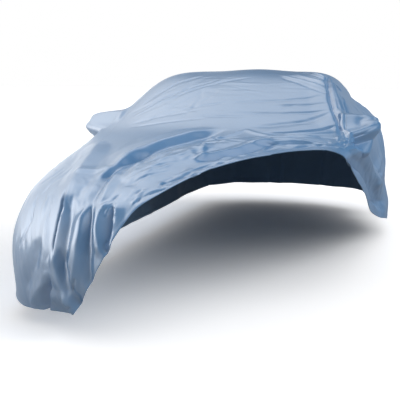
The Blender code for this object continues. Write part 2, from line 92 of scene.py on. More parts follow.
# The same sections down the side: the ledge, the flank and the hem.
#    section        ledge_x ledge_y ledge_z  flank_x flank_y flank_z  hem_x  hem_y  hem_z
SIDE_SECTIONS = (
    ("front hem",    0.74,  -2.06,  0.11,    0.86,   -1.95,  0.14,    0.88,  -1.80, 0.16),
    ("bumper",       0.775, -2.08,  0.33,    0.87,   -1.89,  0.29,    0.90,  -1.64, 0.17),
    ("grille",       0.79,  -2.04,  0.54,    0.89,   -1.80,  0.43,    0.91,  -1.48, 0.18),
    ("nose",         0.80,  -1.91,  0.68,    0.91,   -1.64,  0.50,    0.91,  -1.32, 0.18),
    ("bonnet front", 0.84,  -1.67,  0.755,   0.94,   -1.41,  0.53,    0.91,  -1.14, 0.18),
    ("bonnet",       0.86,  -1.35,  0.82,    0.945,  -1.14,  0.56,    0.91,  -0.92, 0.18),
    ("bonnet rear",  0.88,  -1.02,  0.875,   0.95,   -0.87,  0.59,    0.91,  -0.70, 0.18),
    ("cowl",         0.90,  -0.76,  0.925,   0.955,  -0.63,  0.62,    0.91,  -0.48, 0.18),
    ("windscreen",   0.89,  -0.43,  0.97,    0.955,  -0.34,  0.63,    0.91,  -0.24, 0.18),
    ("roof front",   0.875, -0.09,  0.98,    0.955,  -0.05,  0.63,    0.91,   0.02, 0.18),
    ("roof",         0.87,   0.33,  0.985,   0.955,   0.33,  0.63,    0.91,   0.33, 0.18),
    ("roof rear",    0.865,  0.91,  0.985,   0.955,   0.87,  0.62,    0.91,   0.80, 0.18),
    ("hatch",        0.86,   1.38,  0.97,    0.955,   1.28,  0.62,    0.91,   1.16, 0.19),
    ("tail",         0.86,   1.70,  0.93,    0.945,   1.54,  0.60,    0.90,   1.40, 0.19),
    ("tail edge",    0.855,  1.87,  0.84,    0.93,    1.67,  0.56,    0.89,   1.53, 0.19),
    ("rear face",    0.845,  1.96,  0.60,    0.92,    1.78,  0.42,    0.88,   1.66, 0.19),
    ("rear bumper",  0.82,   1.98,  0.37,    0.89,    1.84,  0.28,    0.87,   1.76, 0.19),
    ("rear hem",     0.78,   1.95,  0.19,    0.85,    1.88,  0.19,    0.86,   1.82, 0.19),
)

# The left side stands off further where it is drawn back, with the seam nearer the pocket.
#    section        seam_x seam_y seam_z ledge_x ledge_y ledge_z flank_x flank_y flank_z hem_x hem_y hem_z
LEFT_SECTIONS = (
    ("bonnet",      0.72, -1.50, 0.905,  0.90, -1.35, 0.78,      0.96, -1.16, 0.52,      0.97, -0.94, 0.18),
    ("bonnet rear", 0.80, -1.11, 0.955,  0.93, -1.02, 0.82,      0.97, -0.86, 0.56,      0.98, -0.70, 0.18),
    ("cowl",        0.80, -0.80, 1.02,   0.94, -0.74, 0.88,      0.975, -0.60, 0.60,     0.99, -0.44, 0.17),
    ("windscreen",  0.72, -0.46, 1.165,  0.93, -0.40, 0.95,      0.975, -0.28, 0.62,     1.00, -0.12, 0.16),
    ("roof front",  0.655, -0.10, 1.315, 0.90, -0.06, 0.97,      0.975, 0.04, 0.62,      1.01, 0.20, 0.15),
    ("roof",        0.63, 0.33, 1.350,   0.88, 0.36, 0.98,       0.985, 0.44, 0.61,      1.03, 0.60, 0.14),
    ("roof rear",   0.60, 0.93, 1.305,   0.87, 0.94, 0.98,       0.985, 0.96, 0.61,      1.04, 1.02, 0.14),
    ("hatch",       0.58, 1.43, 1.18,    0.865, 1.38, 0.97,      0.975, 1.31, 0.61,      1.00, 1.24, 0.15),
    ("tail",        0.62, 1.84, 1.04,    0.86, 1.70, 0.93,       0.955, 1.56, 0.60,      0.94, 1.46, 0.17),
)

# The drawn-back hem over the centre panel: across, then where the cloth ends along the sheet.
CENTRE_HEM = (
    ("lower corner",  -0.50, 0.00),
    ("corner rise",   -0.42, 0.06),
    ("bumper",        -0.28, 0.24),
    ("grille",        -0.10, 0.47),
    ("bonnet lip",     0.02, 0.66),
    ("bonnet front",   0.12, 0.80),
    ("bonnet",         0.26, 1.18),
    ("bonnet rear",    0.40, 1.45),
    ("wing",           0.53, 1.65),
    ("left seam",      0.66, 1.71),
)
# The drawn-back hem down the left side: the share of the side's depth, then where the cloth ends along it.
LEFT_FRONT_HEM = (
    ("seam",           0.00, 1.71),
    ("wing top",       0.45, 1.76),
    ("sill bend",      0.80, 1.90),
    ("corner",         1.00, 2.08),
)
# The left side's lower hem: along, then how far across the cloth reaches.
LEFT_LOWER_HEM = (
    ("corner",         1.99, 1.42),
    ("front door",     2.60, 1.68),
    ("rear door",      3.15, 1.80),
    ("hanging tip",    3.75, 1.90),
)

# Broad folds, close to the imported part's own: soft ridges (rise above 0) and troughs along curves.
#    fold                    rise   spread from_along from_across bend_along bend_across to_along to_across
FOLDS = (
    ("great roll",           0.030, 0.085, 0.88, -0.14, 1.24, -0.06, 1.74,  0.20),
    ("second trough",       -0.012, 0.065, 1.34,  0.12, 1.52,  0.20, 1.80,  0.66),
    ("second roll",          0.016, 0.065, 1.62,  0.10, 1.74,  0.28, 1.94,  0.62),
    ("screen fan 1",         0.005, 0.060, 2.12, -0.56, 2.36, -0.36, 2.80, -0.20),
    ("screen fan 2",         0.004, 0.060, 2.30, -0.58, 2.60, -0.40, 3.00, -0.26),
    ("window hollow left",  -0.040, 0.150, 4.60,  0.90, 3.60,  0.88, 2.70,  0.86),
    ("sleeve top left",      0.026, 0.080, 2.36,  0.70, 2.34,  0.80, 2.30,  0.92),
    ("door drape left",     -0.020, 0.080, 2.56,  1.18, 3.00,  1.34, 3.60,  1.42),
    ("tip lobe",             0.020, 0.090, 3.30,  1.80, 3.70,  1.78, 4.30,  1.76),
    ("window hollow right", -0.024, 0.150, 4.60, -0.90, 3.60, -0.88, 2.70, -0.86),
    ("sleeve top right",     0.024, 0.080, 2.36, -0.70, 2.34, -0.80, 2.30, -0.92),
    ("wing drape right",    -0.016, 0.080, 1.10, -1.10, 1.24, -1.40, 1.20, -2.00),
    ("pocket drape right",  -0.022, 0.080, 2.20, -1.12, 2.16, -1.40, 2.00, -2.00),
    ("door drape right",     0.018, 0.090, 2.60, -1.14, 2.70, -1.50, 2.62, -2.00),
    ("sill drape right",    -0.018, 0.090, 3.20, -1.20, 3.30, -1.50, 3.24, -2.00),
    ("arch drape right",    -0.016, 0.090, 4.20, -1.10, 4.10, -1.50, 4.30, -2.00),
    ("arch drape left",     -0.018, 0.090, 4.50,  1.10, 4.56,  1.50, 4.44,  2.00),
    ("tail sag",            -0.012, 0.160, 4.86, -0.40, 4.80,  0.00, 4.86,  0.40),
    ("rear pleat right",    -0.024, 0.070, 5.34, -0.70, 5.70, -0.76, 6.30, -0.72),
    ("rear ridge right",     0.018, 0.070, 5.40, -0.56, 5.76, -0.54, 6.30, -0.50),
    ("rear pleat left",     -0.024, 0.070, 5.32,  0.72, 5.70,  0.80, 6.30,  0.78),
    ("rear ridge left",      0.018, 0.070, 5.42,  0.56, 5.76,  0.50, 6.30,  0.46),
    ("rear drape",          -0.014, 0.090, 5.46,  0.06, 5.76,  0.02, 6.30, -0.04),
)

# Creases, in millimetres and metres.  Left and right are the widths of the flat flanks on the two sides of
# the line, seen from outside along the way it runs: a narrow flank is a steep wall, a wide one a soft slope.
# A wall has a crest along its upper edge and a foot along its lower one.
#    crease               rise  left right  from_along from_across bend_along bend_across to_along to_across
CREASES = (
    # Down the front face, from the right side to the drawn-back hem.
    ("corner line",       -8,   18,  11,  0.33, -0.955, 0.46, -0.870, 0.57, -0.815),
    ("corner line top",   -7,   18,  11,  0.50, -0.840, 0.58, -0.830, 0.69, -0.835),
    ("corner shadow",    -18,   70,  44,  0.10, -0.960, 0.24, -0.755, 0.46, -0.695),
    ("wing ridge",         9,   60,  50,  0.16, -0.700, 0.34, -0.660, 0.60, -0.680),
    ("hem wedge",        -30,   60,  12, -0.05, -0.770, 0.12, -0.655, 0.28, -0.600),
    ("hem wedge crest",   20,   50,  50,  0.00, -0.940, 0.15, -0.740, 0.29, -0.570),
    ("blade",            -26,   34,  13,  0.36, -0.585, 0.54, -0.532, 0.77, -0.527),
    ("blade ridge",       20,   13,  66,  0.30, -0.590, 0.50, -0.528, 0.76, -0.513),
    ("blade foot",       -16,   66,  60,  0.32, -0.520, 0.50, -0.385, 0.72, -0.525),
    ("knee ridge",        24,   80,  50, -0.16, -0.360, 0.22, -0.540, 0.41, -0.590),
    ("knee foot",        -24,   50,  50, -0.12, -0.330, 0.24, -0.440, 0.43, -0.540),
    ("middle ridge",      12,   60,  40,  0.28, -0.460, 0.46, -0.375, 0.66, -0.335),
    ("middle wall",       26,   70,  55,  0.00, -0.490, 0.34, -0.365, 0.70, -0.305),
    ("middle foot",      -24,   55,  45,  0.14, -0.280, 0.42, -0.262, 0.70, -0.305),
    ("knot",             -12,   10,  16,  0.17, -0.425, 0.22, -0.400, 0.28, -0.380),
    ("last ridge",         9,   40,  40,  0.40, -0.245, 0.54, -0.255, 0.72, -0.255),
    ("hem wall",          24,   50,  84,  0.38, -0.150, 0.54, -0.290, 0.72, -0.150),
    ("hem wall foot",    -26,   84,  15,  0.38, -0.155, 0.53, -0.085, 0.70, -0.155),
    ("hem roll",          14,   15,  60,  0.40, -0.135, 0.54, -0.065, 0.71, -0.135),
    ("hem hook",           9,   10,  10,  0.59, -0.180, 0.64, -0.165, 0.70, -0.125),
    ("foot edge",         14,   50,  70,  0.08, -0.700, 0.17, -0.540, 0.09, -0.360),
    ("foot pinch",        -9,   16,  10,  0.02, -0.520, 0.07, -0.500, 0.10, -0.440),
    # Where the bonnet part turns down to the front face.
    ("nose stripe",      -14,   40,  34,  0.64, -0.310, 0.86, -0.298, 1.16, -0.327),
    ("nose ridge",        11,   34,  48,  0.66, -0.245, 0.88, -0.245, 1.10, -0.290),
    ("nose dent",         -4,   26,  30,  0.68, -0.430, 0.80, -0.420, 0.96, -0.410),
    ("nose line",         -6,   14,  12,  0.64, -0.195, 0.70, -0.170, 0.78, -0.130),
    ("wing line",         -4,   18,  22,  0.66, -0.800, 0.88, -0.700, 1.10, -0.640),
    ("wing line 2",       -4,   16,  20,  0.78, -0.880, 0.92, -0.800, 1.12, -0.740),
    # Over the bonnet part: the plane, the dark wall, the puffed roll before it and the folds by the hem.
    ("plane edge",        24,  120, 110,  0.58, -0.500, 1.05, -0.545, 1.80, -0.690),
    ("plane end",         10,   70,  40,  0.97, -0.590, 1.04, -0.450, 1.15, -0.330),
    ("great wall",        27,  150,  52,  1.14, -0.338, 1.62, -0.250, 2.04,  0.070),
    ("great wall start",  13,   60,  24,  0.92, -0.372, 1.20, -0.335, 1.50, -0.210),
    ("great start foot", -13,   24,  60,  0.92, -0.346, 1.20, -0.306, 1.50, -0.175),
    ("great wall foot",  -27,   52,  80,  1.14, -0.300, 1.64, -0.172, 2.02,  0.125),
    ("roll crest",        12,   40,  90,  1.04, -0.215, 1.34, -0.120, 1.60,  0.010),
    ("roll line 1",       -5,   16,  34,  1.06, -0.170, 1.30, -0.080, 1.44,  0.060),
    ("roll line 2",       -5,   14,  30,  0.94, -0.180, 1.10, -0.080, 1.28,  0.100),
    ("roll line 3",       -4,   14,  30,  0.84, -0.160, 0.98, -0.060, 1.14,  0.080),
    ("roll dent",        -14,   24,  18,  1.44, -0.035, 1.56,  0.030, 1.72,  0.160),
    ("roll spot",         10,   18,  22,  1.32,  0.180, 1.44,  0.110, 1.60,  0.100),
    ("hem crease 1",     -14,   24,  14,  0.69,  0.000, 0.82,  0.065, 0.90,  0.165),
    ("hem crease 2",     -14,   24,  14,  0.91,  0.075, 1.02,  0.150, 1.14,  0.255),
    ("hem crease 3",     -10,   20,  13,  1.14,  0.180, 1.24,  0.240, 1.34,  0.330),
    ("second wall",       24,   44,  34,  1.29,  0.105, 1.52,  0.265, 1.84,  0.380),
    ("second wall foot", -24,   34,  40,  1.27,  0.128, 1.49,  0.294, 1.80,  0.408),
    ("dark stroke",      -14,   24,  18,  1.64,  0.270, 1.82,  0.440, 1.78,  0.600),
    ("dark stroke 2",    -10,   18,  16,  1.70,  0.480, 1.76,  0.540, 1.80,  0.640),
    ("light crease",      10,   14,  24,  1.68,  0.040, 1.84,  0.135, 2.03,  0.215),
    ("light crease 2",     9,   14,  22,  2.03,  0.195, 1.96,  0.260, 1.89,  0.370),
    ("light crease 3",     8,   14,  20,  1.84,  0.300, 1.93,  0.420, 1.90,  0.560),
    ("light crease 4",     7,   12,  18,  1.78,  0.140, 1.86,  0.240, 1.84,  0.360),
    ("cowl sweep",       -13,   18,  44,  1.98,  0.280, 2.00,  0.500, 2.16,  0.690),
    ("cowl fold",         10,   40,  20,  1.96,  0.360, 1.97,  0.520, 2.06,  0.680),
    # Over the screen part and the front of the roof part.
    ("screen line 1",     -5,   12,  34,  2.41,  0.030, 2.45,  0.330, 2.58,  0.660),
    ("screen line 2",     -4,   10,  26,  2.39,  0.320, 2.42,  0.480, 2.46,  0.660),
    ("screen line 3",     -6,   12,  36,  2.27,  0.070, 2.27,  0.360, 2.37,  0.670),
    ("screen line 4",     -4,   12,  26,  2.25, -0.130, 2.19,  0.060, 2.24,  0.230),
    ("screen line 5",     -4,   12,  30,  2.22, -0.380, 2.36, -0.220, 2.43,  0.080),
    ("screen line 6",     -8,   26,  50,  2.07,  0.210, 2.16,  0.500, 2.34,  0.660),
    ("screen line 7",     -4,   14,  30,  2.12, -0.560, 2.24, -0.360, 2.34, -0.060),
    ("screen line 8",     -5,   14,  34,  2.44, -0.420, 2.74, -0.210, 2.90,  0.120),
    ("screen line 9",     -5,   14,  34,  2.28, -0.560, 2.56, -0.420, 2.84, -0.120),
    ("screen line 10",    -5,   14,  30,  2.40, -0.590, 2.70, -0.500, 3.00, -0.260),
    ("screen line 11",     5,   26,  14,  2.20, -0.590, 2.44, -0.440, 2.70, -0.220),
    ("screen line 12",    -4,   12,  26,  2.06, -0.540, 2.14, -0.300, 2.20,  0.000),
    ("corner stripe 1",    7,   15,  13,  3.05,  0.260, 2.80,  0.440, 2.64,  0.650),
    ("corner stripe 2",   -6,   13,  15,  3.02,  0.330, 2.80,  0.480, 2.69,  0.650),
    ("corner stripe 3",    6,   13,  13,  3.07,  0.360, 2.82,  0.500, 2.73,  0.650),
    ("corner stripe 4",   -5,   13,  13,  3.16,  0.400, 2.90,  0.520, 2.78,  0.650),
    ("corner stripe 5",    7,   13,  13,  3.26,  0.400, 2.98,  0.530, 2.82,  0.660),
    ("corner stripe 6",   -7,   13,  22,  2.94,  0.300, 2.72,  0.460, 2.57,  0.650),
    # Down the left side: below the seam, round the mirror pocket and on the flap.
    ("pillar wall",       24,  110,  48,  1.98,  0.668, 2.56,  0.648, 3.24,  0.570),
    ("pillar foot",      -24,   48,  26,  1.98,  0.716, 2.52,  0.700, 3.24,  0.622),
    ("pillar ridge",       7,   20,  50,  2.42,  0.770, 2.66,  0.735, 3.06,  0.695),
    ("pillar line",       -7,   14,  18,  2.44,  0.840, 2.74,  0.800, 3.10,  0.750),
    ("pillar spot",      -20,   16,  20,  2.96,  0.690, 3.08,  0.735, 3.24,  0.780),
    ("pocket edge left",  26,   60, 100,  2.04,  0.745, 2.13,  0.870, 2.30,  0.880),
    ("pocket under",     -42,  100,  60,  1.96,  0.810, 2.03,  1.010, 2.36,  1.070),
    ("base pleat 1",       6,   14,  14,  2.28,  0.655, 2.18,  0.690, 2.04,  0.720),
    ("base pleat 2",      -7,   14,  14,  2.24,  0.690, 2.14,  0.730, 2.00,  0.770),
    ("base pleat 3",       5,   14,  14,  2.16,  0.730, 2.10,  0.780, 1.98,  0.820),
    ("flap crest",        38,  130,  90,  1.84,  0.740, 2.12,  1.320, 3.75,  1.690),
    ("flap foot",        -34,  100,  50,  1.73,  0.860, 1.96,  1.430, 3.56,  1.800),
    ("door pull 1",       12,   60,  34,  2.76,  1.470, 3.30,  1.440, 4.30,  1.370),
    ("door pull 2",       16,   70,  60,  2.80,  1.520, 3.40,  1.500, 4.40,  1.480),
    ("hem fold left",      6,   40,  26,  1.68,  0.860, 1.86,  1.330, 3.20,  1.800),
    ("hem fold left 2",   -8,   20,  14,  1.72,  0.820, 1.90,  1.300, 2.90,  1.680),
    ("tip band",         -12,   24,  40,  2.44,  1.560, 2.90,  1.640, 3.60,  1.720),
    ("tip light",          9,   12,  12,  2.52,  1.575, 2.84,  1.605, 3.22,  1.680),
    # Down the right side, the back and the tail, as such a cover hangs.
    ("right pull 1",      11,   60,  44,  1.50, -1.560, 1.80, -1.200, 1.90, -0.960),
    ("right pull 2",     -12,   44,  70,  1.76, -1.800, 1.94, -1.360, 2.00, -1.060),
    ("right pull 3",      12,   56,  44,  2.84, -1.860, 2.66, -1.400, 2.44, -1.120),
    ("right pull 4",     -11,   44,  60,  3.02, -1.900, 3.06, -1.400, 3.00, -1.060),
    ("right pull 5",      10,   56,  48,  3.74, -1.960, 3.70, -1.440, 3.60, -1.060),
    ("right pull 6",     -11,   48,  66,  4.70, -1.900, 4.60, -1.360, 4.40, -1.000),
    ("right pull 7",      11,   54,  48,  4.92, -1.700, 5.02, -1.200, 5.00, -0.800),
    ("left pull 5",      -11,   48,  64,  4.10,  1.040, 4.20,  1.400, 4.10,  1.900),
    ("left pull 6",       11,   54,  48,  4.80,  0.900, 4.90,  1.300, 4.86,  1.800),
    ("rear fold 1",      -12,   44,  70,  5.30, -0.300, 5.66, -0.340, 6.30, -0.300),
    ("rear fold 2",       11,   64,  44,  5.34, -0.160, 5.70, -0.200, 6.30, -0.180),
    ("rear fold 3",      -12,   44,  64,  5.34,  0.340, 5.70,  0.360, 6.30,  0.300),
    ("hatch pull 1",       7,   64,  50,  4.10, -0.560, 4.50, -0.300, 5.00, -0.240),
    ("hatch pull 2",      -7,   50,  72,  4.06,  0.580, 4.46,  0.340, 4.96,  0.240),
)

# Small creases scattered along a band.  Each is a short line, whose heading is the band's plus turn, give or
# take jitter, in degrees.  Half width is the band's.  Rise and spread are in millimetres.
#    crumple       count, seed, from_along, from_across, to_along, to_across, half_width, turn, jitter,
#                  length, rise, spread
CRUMPLES = (
    ("roll lines",      44,  3,  0.98, -0.16, 1.60,  0.12, 0.11,   -6, 10, 0.30, 2.6, 20),
    ("roll cross",       7,  4,  0.98, -0.10, 1.50,  0.10, 0.10,  -62, 24, 0.12, 1.8, 18),
    ("hem crumples",    34,  5,  0.74, -0.02, 1.64,  0.44, 0.05,    0, 14, 0.13, 5.0, 16),
    ("cowl crumples",   40,  7,  1.72,  0.10, 1.88,  0.70, 0.09,    4, 13, 0.18, 5.0, 17),
    ("nose crumples",   14, 11,  0.78, -0.50, 0.80, -0.04, 0.12,   86, 14, 0.20, 2.4, 22),
    ("front streaks",   24, 13,  0.36, -1.00, 0.40, -0.62, 0.28,   94, 10, 0.26, 2.2, 20),
    ("foot crumples",   10, 14,  0.06, -0.60, 0.08, -0.42, 0.06,   60, 40, 0.08, 4.0, 14),
    ("wing streaks",    12, 17,  0.70, -0.70, 1.80, -0.90, 0.14,   -8, 14, 0.30, 1.8, 26),
    ("bonnet streaks",  10, 19,  1.20, -0.46, 1.84, -0.34, 0.12,    0, 16, 0.30, 1.0, 26),
    ("screen streaks",  34, 23,  2.20,  0.10, 2.84,  0.14, 0.50,  -88,  8, 0.34, 1.6, 20),
    ("screen fan",      26, 29,  2.20, -0.44, 2.90, -0.20, 0.18,    6, 12, 0.42, 2.0, 20),
    ("pillar streaks",  20, 31,  2.20,  0.78, 3.10,  0.80, 0.08,    2,  8, 0.30, 3.6, 16),
    ("base crumples",   18, 37,  1.88,  0.72, 2.10,  0.98, 0.08,  -10, 26, 0.12, 5.0, 15),
    ("left door",       24, 41,  2.40,  1.24, 3.60,  1.60, 0.18,    4, 14, 0.34, 3.4, 28),
    ("left rear",       20, 43,  3.70,  1.30, 5.10,  1.20, 0.34,   84, 16, 0.36, 3.2, 34),
    ("right front",     22, 47,  1.00, -1.34, 2.20, -1.40, 0.34,   80, 18, 0.32, 3.4, 34),
    ("right doors",     30, 53,  2.30, -1.44, 4.60, -1.44, 0.36,   88, 14, 0.36, 3.2, 34),
    ("right windows",   20, 59,  2.70, -0.84, 4.60, -0.84, 0.14,   10, 18, 0.40, 2.8, 30),
    ("left windows",    20, 61,  3.20,  0.84, 4.60,  0.84, 0.14,   10, 18, 0.40, 3.0, 30),
    ("roof streaks",    20, 67,  3.10,  0.00, 4.30,  0.00, 0.50,   70, 30, 0.40, 1.4, 34),
    ("hatch streaks",   20, 71,  4.30,  0.00, 5.10,  0.00, 0.50,   20, 40, 0.36, 2.0, 32),
    ("rear streaks",    26, 73,  5.50, -0.90, 5.60,  0.90, 0.34,   88, 12, 0.34, 3.4, 32),
    ("right tail",      14, 79,  4.80, -1.10, 5.90, -1.20, 0.30,   84, 20, 0.30, 3.4, 32),
)
# Smallest and largest share of its row's length, rise and spread that a scattered crease has, and how far it
# usually bows, as a share of its half length.
LENGTH_SHARES = (0.5, 1.3)
RISE_SHARES = (0.5, 1.25)
SPREAD_SHARES = (0.7, 1.3)
BOW_SHARE = 0.12
MILLIMETRE = 0.001

# Waves that bend the lines of folds and creases: wave length, move and how many of them.
WANDER_SEED = 2
WANDER_WAVES = ((0.55, 0.004, 3), (0.23, 0.002, 4), (0.11, 0.001, 5))
# Points on the curve of a fold or crease, and the share of the curve over which each of its ends fades away.
CURVE_POINTS = 25
FADE_SHARE = 0.22
# A fold or crease counts as flat beyond this many spreads, and a fold with more than this spread is a bell.
REACH_IN_SPREADS = 2.6
SAG_SPREAD = 0.10
# How wide the tent of a fold is in spreads, and how much tents are rounded at their crest and foot.
FOLD_WIDTH = 1.65
FOLD_CREST = 0.10
FOLD_FOOT = 0.16
CREASE_CREST = 0.10
CREASE_FOOT = 0.14
# Width of a crease at its two ends, as a share of its width in the middle.
CREASE_END_SHARE = 0.45

# Mirror pockets: the hump's middle and half sizes, the powers of its outline, and how far it stands out of
# each side, as a move to the left, to the rear and up.
POCKET_ALONG = 2.268
POCKET_ACROSS = 0.946
POCKET_HALF_LENGTH = 0.168
POCKET_HALF_HEIGHT = 0.191
POCKET_FLATNESS = 4.0
POCKET_LOWER_FLATNESS = 2.2
POCKET_SHOULDER = 1.5
POCKET_REACH = {-1: (-0.185, 0.05, 0.015), 1: (0.145, 0.08, 0.040)}

# Steps of the sheets' grids, which are finer over the front share of each sheet's length.
FRONT_SHARE = 0.52
FRONT_STEPS = 236
REAR_STEPS = 56
CENTRE_STEPS = 160
SIDE_STEPS = 136
POCKET_STEPS = 72

# The turned hem: the grid lines beside an edge, its width, the width over which it ends, the thickness of
# what is turned in and how much its face puffs.
HEM_LINES = np.array((0.0, 0.003, 0.010, 0.017, 0.020, 0.023))
HEM_WIDTH = 0.020
HEM_END = 0.003
HEM_FOLD = 0.0026
HEM_PUFF = 0.0012
# Rows of stitches, in metres from a hem's edge.  A seam's edge counts as if it lay this far inside a hem.
STITCH_ROW = 0.018
SEAM_INSET = 0.012
STITCH_WIDTH = 0.0012
STITCH_PITCH = 0.0045
STITCH_SHARE = 0.72

SHARP_ANGLE = math.radians(60)

# Faint clouds of shade on the cloth: their noise, and where in it the dark ones end and the light ones begin.
CLOUD_NOISE = {"Scale": 2.2, "Detail": 3.0, "Roughness": 0.55}
CLOUD_EDGES = (0.32, 0.68)
# Bumps of the fine wrinkles, the weave and the stitches.
WRINKLE_NOISE = {"Scale": 26.0, "Detail": 3.0, "Roughness": 0.5, "Distortion": 0.6}
WRINKLE_BUMP = 0.35
WEAVE_BUMP = 0.12
WEAVE_HEIGHT_SHARE = 0.25
STITCH_BUMP = 0.8
# Radians by which a wave texture of scale 1 turns in a metre.
WAVE_RADIANS = 20
# Gloss of the dull inside.
INSIDE_INDEX = 1.5
INSIDE_SPECULAR = 0.35
INSIDE_SHEEN = 0.1
SHEEN_ROUGHNESS = 0.4

# Left and right of the studio are the picture's.  The camera looks this many degrees below level and is
# turned this many degrees to the left, and its lens and sensor are in millimetres.
CAMERA_PLACE = (1.42, -5.55, 0.06)
CAMERA_DOWN = 10.3
CAMERA_TURN = 17.8
CAMERA_LENS = 66.33
CAMERA_SENSOR = 36.0
FLOOR_HALF = 40.0
# Between these two places across the floor, the light that it throws back changes from left to right.
# The darker right is painted shade in the floor's colour for bounced light, which the camera doesn't see.
BOUNCE_LEFT = -2.0
BOUNCE_RIGHT = 0.4
# Soft lamps: the way towards each one and how many degrees wide it is.
LAMPS = {
    "key": ((-0.86, -0.36, 0.40), 60.0),
    "top": ((0.45, -0.30, 0.84), 70.0),
    "fill": ((0.93, 0.02, 0.36), 60.0),
}
LAMP_DISTANCE = 4
# Softboxes that the gloss shows: the way towards each one's middle, and about the cosine of the angle from
# there at which it begins.
SOFTBOXES = {
    "side": ((-0.98, -0.10, 0.16), 0.25),
    "front": ((-0.72, -0.69, 0.05), 0.35),
    "top": ((-0.28, 0.46, 0.84), 0.76),
    "rear": ((0.22, 0.97, 0.02), 0.86),
    "low": ((-0.56, 0.83, -0.02), 0.90),
    "right": ((0.85, -0.10, 0.52), 0.78),
}
WHITE = (1.0, 1.0, 1.0, 1.0)

FULL_TURN = 2 * math.pi
NEARLY_ZERO = 1e-9


def sheet_net():
    """Places of the sheet's guide points: a row for each section, from the right hem to the left hem."""
    left_rows = {row[0]: np.array(row[1:]).reshape(4, 3) for row in LEFT_SECTIONS}
    rows = []
    for centre_row, side_row in zip(CENTRE_SECTIONS, SIDE_SECTIONS):
        centre = np.array((0.0, centre_row[2], centre_row[3]))
        right_side = np.array(centre_row[4:] + side_row[1:]).reshape(4, 3)
        left_side = left_rows.get(centre_row[0], right_side)
        bow = np.array((QUARTER_WIDTH_SHARE, QUARTER_DROP_SHARE, QUARTER_DROP_SHARE))
        half_rows = []
        for side in (right_side, left_side):
            quarter = centre + (side[0] - centre) * bow
            half_rows.append(np.vstack((quarter, side)))
        mirrored = half_rows[0][::-1] * (-1, 1, 1)
        rows.append(np.vstack((mirrored, centre, half_rows[1])))
    net = np.array(rows)
    net[:, :, 2] -= TOP_REST_HEIGHT
    return net


def spline_weights(knots, places):
    """Weights that carry values at the knots onto a natural cubic curve, a row for each place."""
    count = len(knots)
    steps = np.diff(knots)
    bending = np.eye(count)
    turning = np.zeros((count, count))
    for row in range(1, count - 1):
        before = steps[row - 1]
        after = steps[row]
        bending[row, row - 1:row + 2] = before, 2 * (before + after), after
        turning[row, row - 1:row + 2] = 6 / before, -6 / before - 6 / after, 6 / after
    curvature = np.linalg.solve(bending, turning)
    cell = np.clip(np.searchsorted(knots, places, side="right") - 1, 0, count - 2)
    width = steps[cell]
    low = (knots[cell + 1] - places) / width
    high = (places - knots[cell]) / width
    weights = ((low**3 - low) * width**2 / 6)[:, None] * curvature[cell]
    weights += ((high**3 - high) * width**2 / 6)[:, None] * curvature[cell + 1]
    rows = np.arange(len(places))
    weights[rows, cell] += low
    weights[rows, cell + 1] += high
    return weights


def smooth_line(rows, places):
    """Monotone cubic curve through the rows (place, value), read at the places.

    Its slope at a knot is the harmonic mean of the two slopes beside it, or 0 where they turn.
    """
    knots = np.array([row[-2] for row in rows])
    values = np.array([row[-1] for row in rows])
    steps = np.diff(knots)
    slopes = np.diff(values) / steps
    tangents = np.zeros(len(knots))
    tangents[-1] = slopes[-1]
    both = slopes[:-1] * slopes[1:]
    means = 2 * both / np.maximum(slopes[:-1] + slopes[1:], NEARLY_ZERO)
    tangents[1:-1] = np.where(both > 0, means, 0.0)
    spot = np.clip(places, knots[0], knots[-1])
    cell = np.clip(np.searchsorted(knots, spot, side="right") - 1, 0, len(knots) - 2)
    width = steps[cell]
    part = (spot - knots[cell]) / width
    start = (1 + 2 * part) * (1 - part)**2 * values[cell]
    start += part * (1 - part)**2 * width * tangents[cell]
    end = part**2 * (3 - 2 * part) * values[cell + 1]
    end += part**2 * (part - 1) * width * tangents[cell + 1]
    return start + end


SECTION_KNOTS = np.array([row[1] for row in CENTRE_SECTIONS])
HALF_KNOTS = np.array((QUARTER_ACROSS, SEAM_ACROSS, LEDGE_ACROSS, FLANK_ACROSS, HEM_ACROSS))
ACROSS_KNOTS = np.concatenate((-HALF_KNOTS[::-1], (0.0,), HALF_KNOTS))
SHEET_NET = sheet_net()
SHEET_LENGTH = CENTRE_SECTIONS[-1][1]


def smooth_sheet(along, across):
    """Points of the bare sheet: natural cubic curves through the sections, both ways."""
    along_weights = spline_weights(SECTION_KNOTS, along.ravel())
    across_weights = spline_weights(ACROSS_KNOTS, across.ravel())
    points = np.einsum("ni,nj,ijk->nk", along_weights, across_weights, SHEET_NET, optimize=True)
    return points.reshape(along.shape + (3,))


def grid_normals(points):
    """Unit normals of a grid of points, out of the cover: cross product of its two slopes."""
    normals = np.cross(np.gradient(points, axis=1), np.gradient(points, axis=0))
    return normals / np.linalg.norm(normals, axis=-1, keepdims=True)


def curve_through(places):
    """Points of a quadratic curve: from * (1 - s)^2 + bend * 2 s (1 - s) + to * s^2."""
    start, bend, end = np.array(places).reshape(3, 2)
    share = np.linspace(0.0, 1.0, CURVE_POINTS)[:, None]
    return start * (1 - share)**2 + bend * 2 * share * (1 - share) + end * share**2


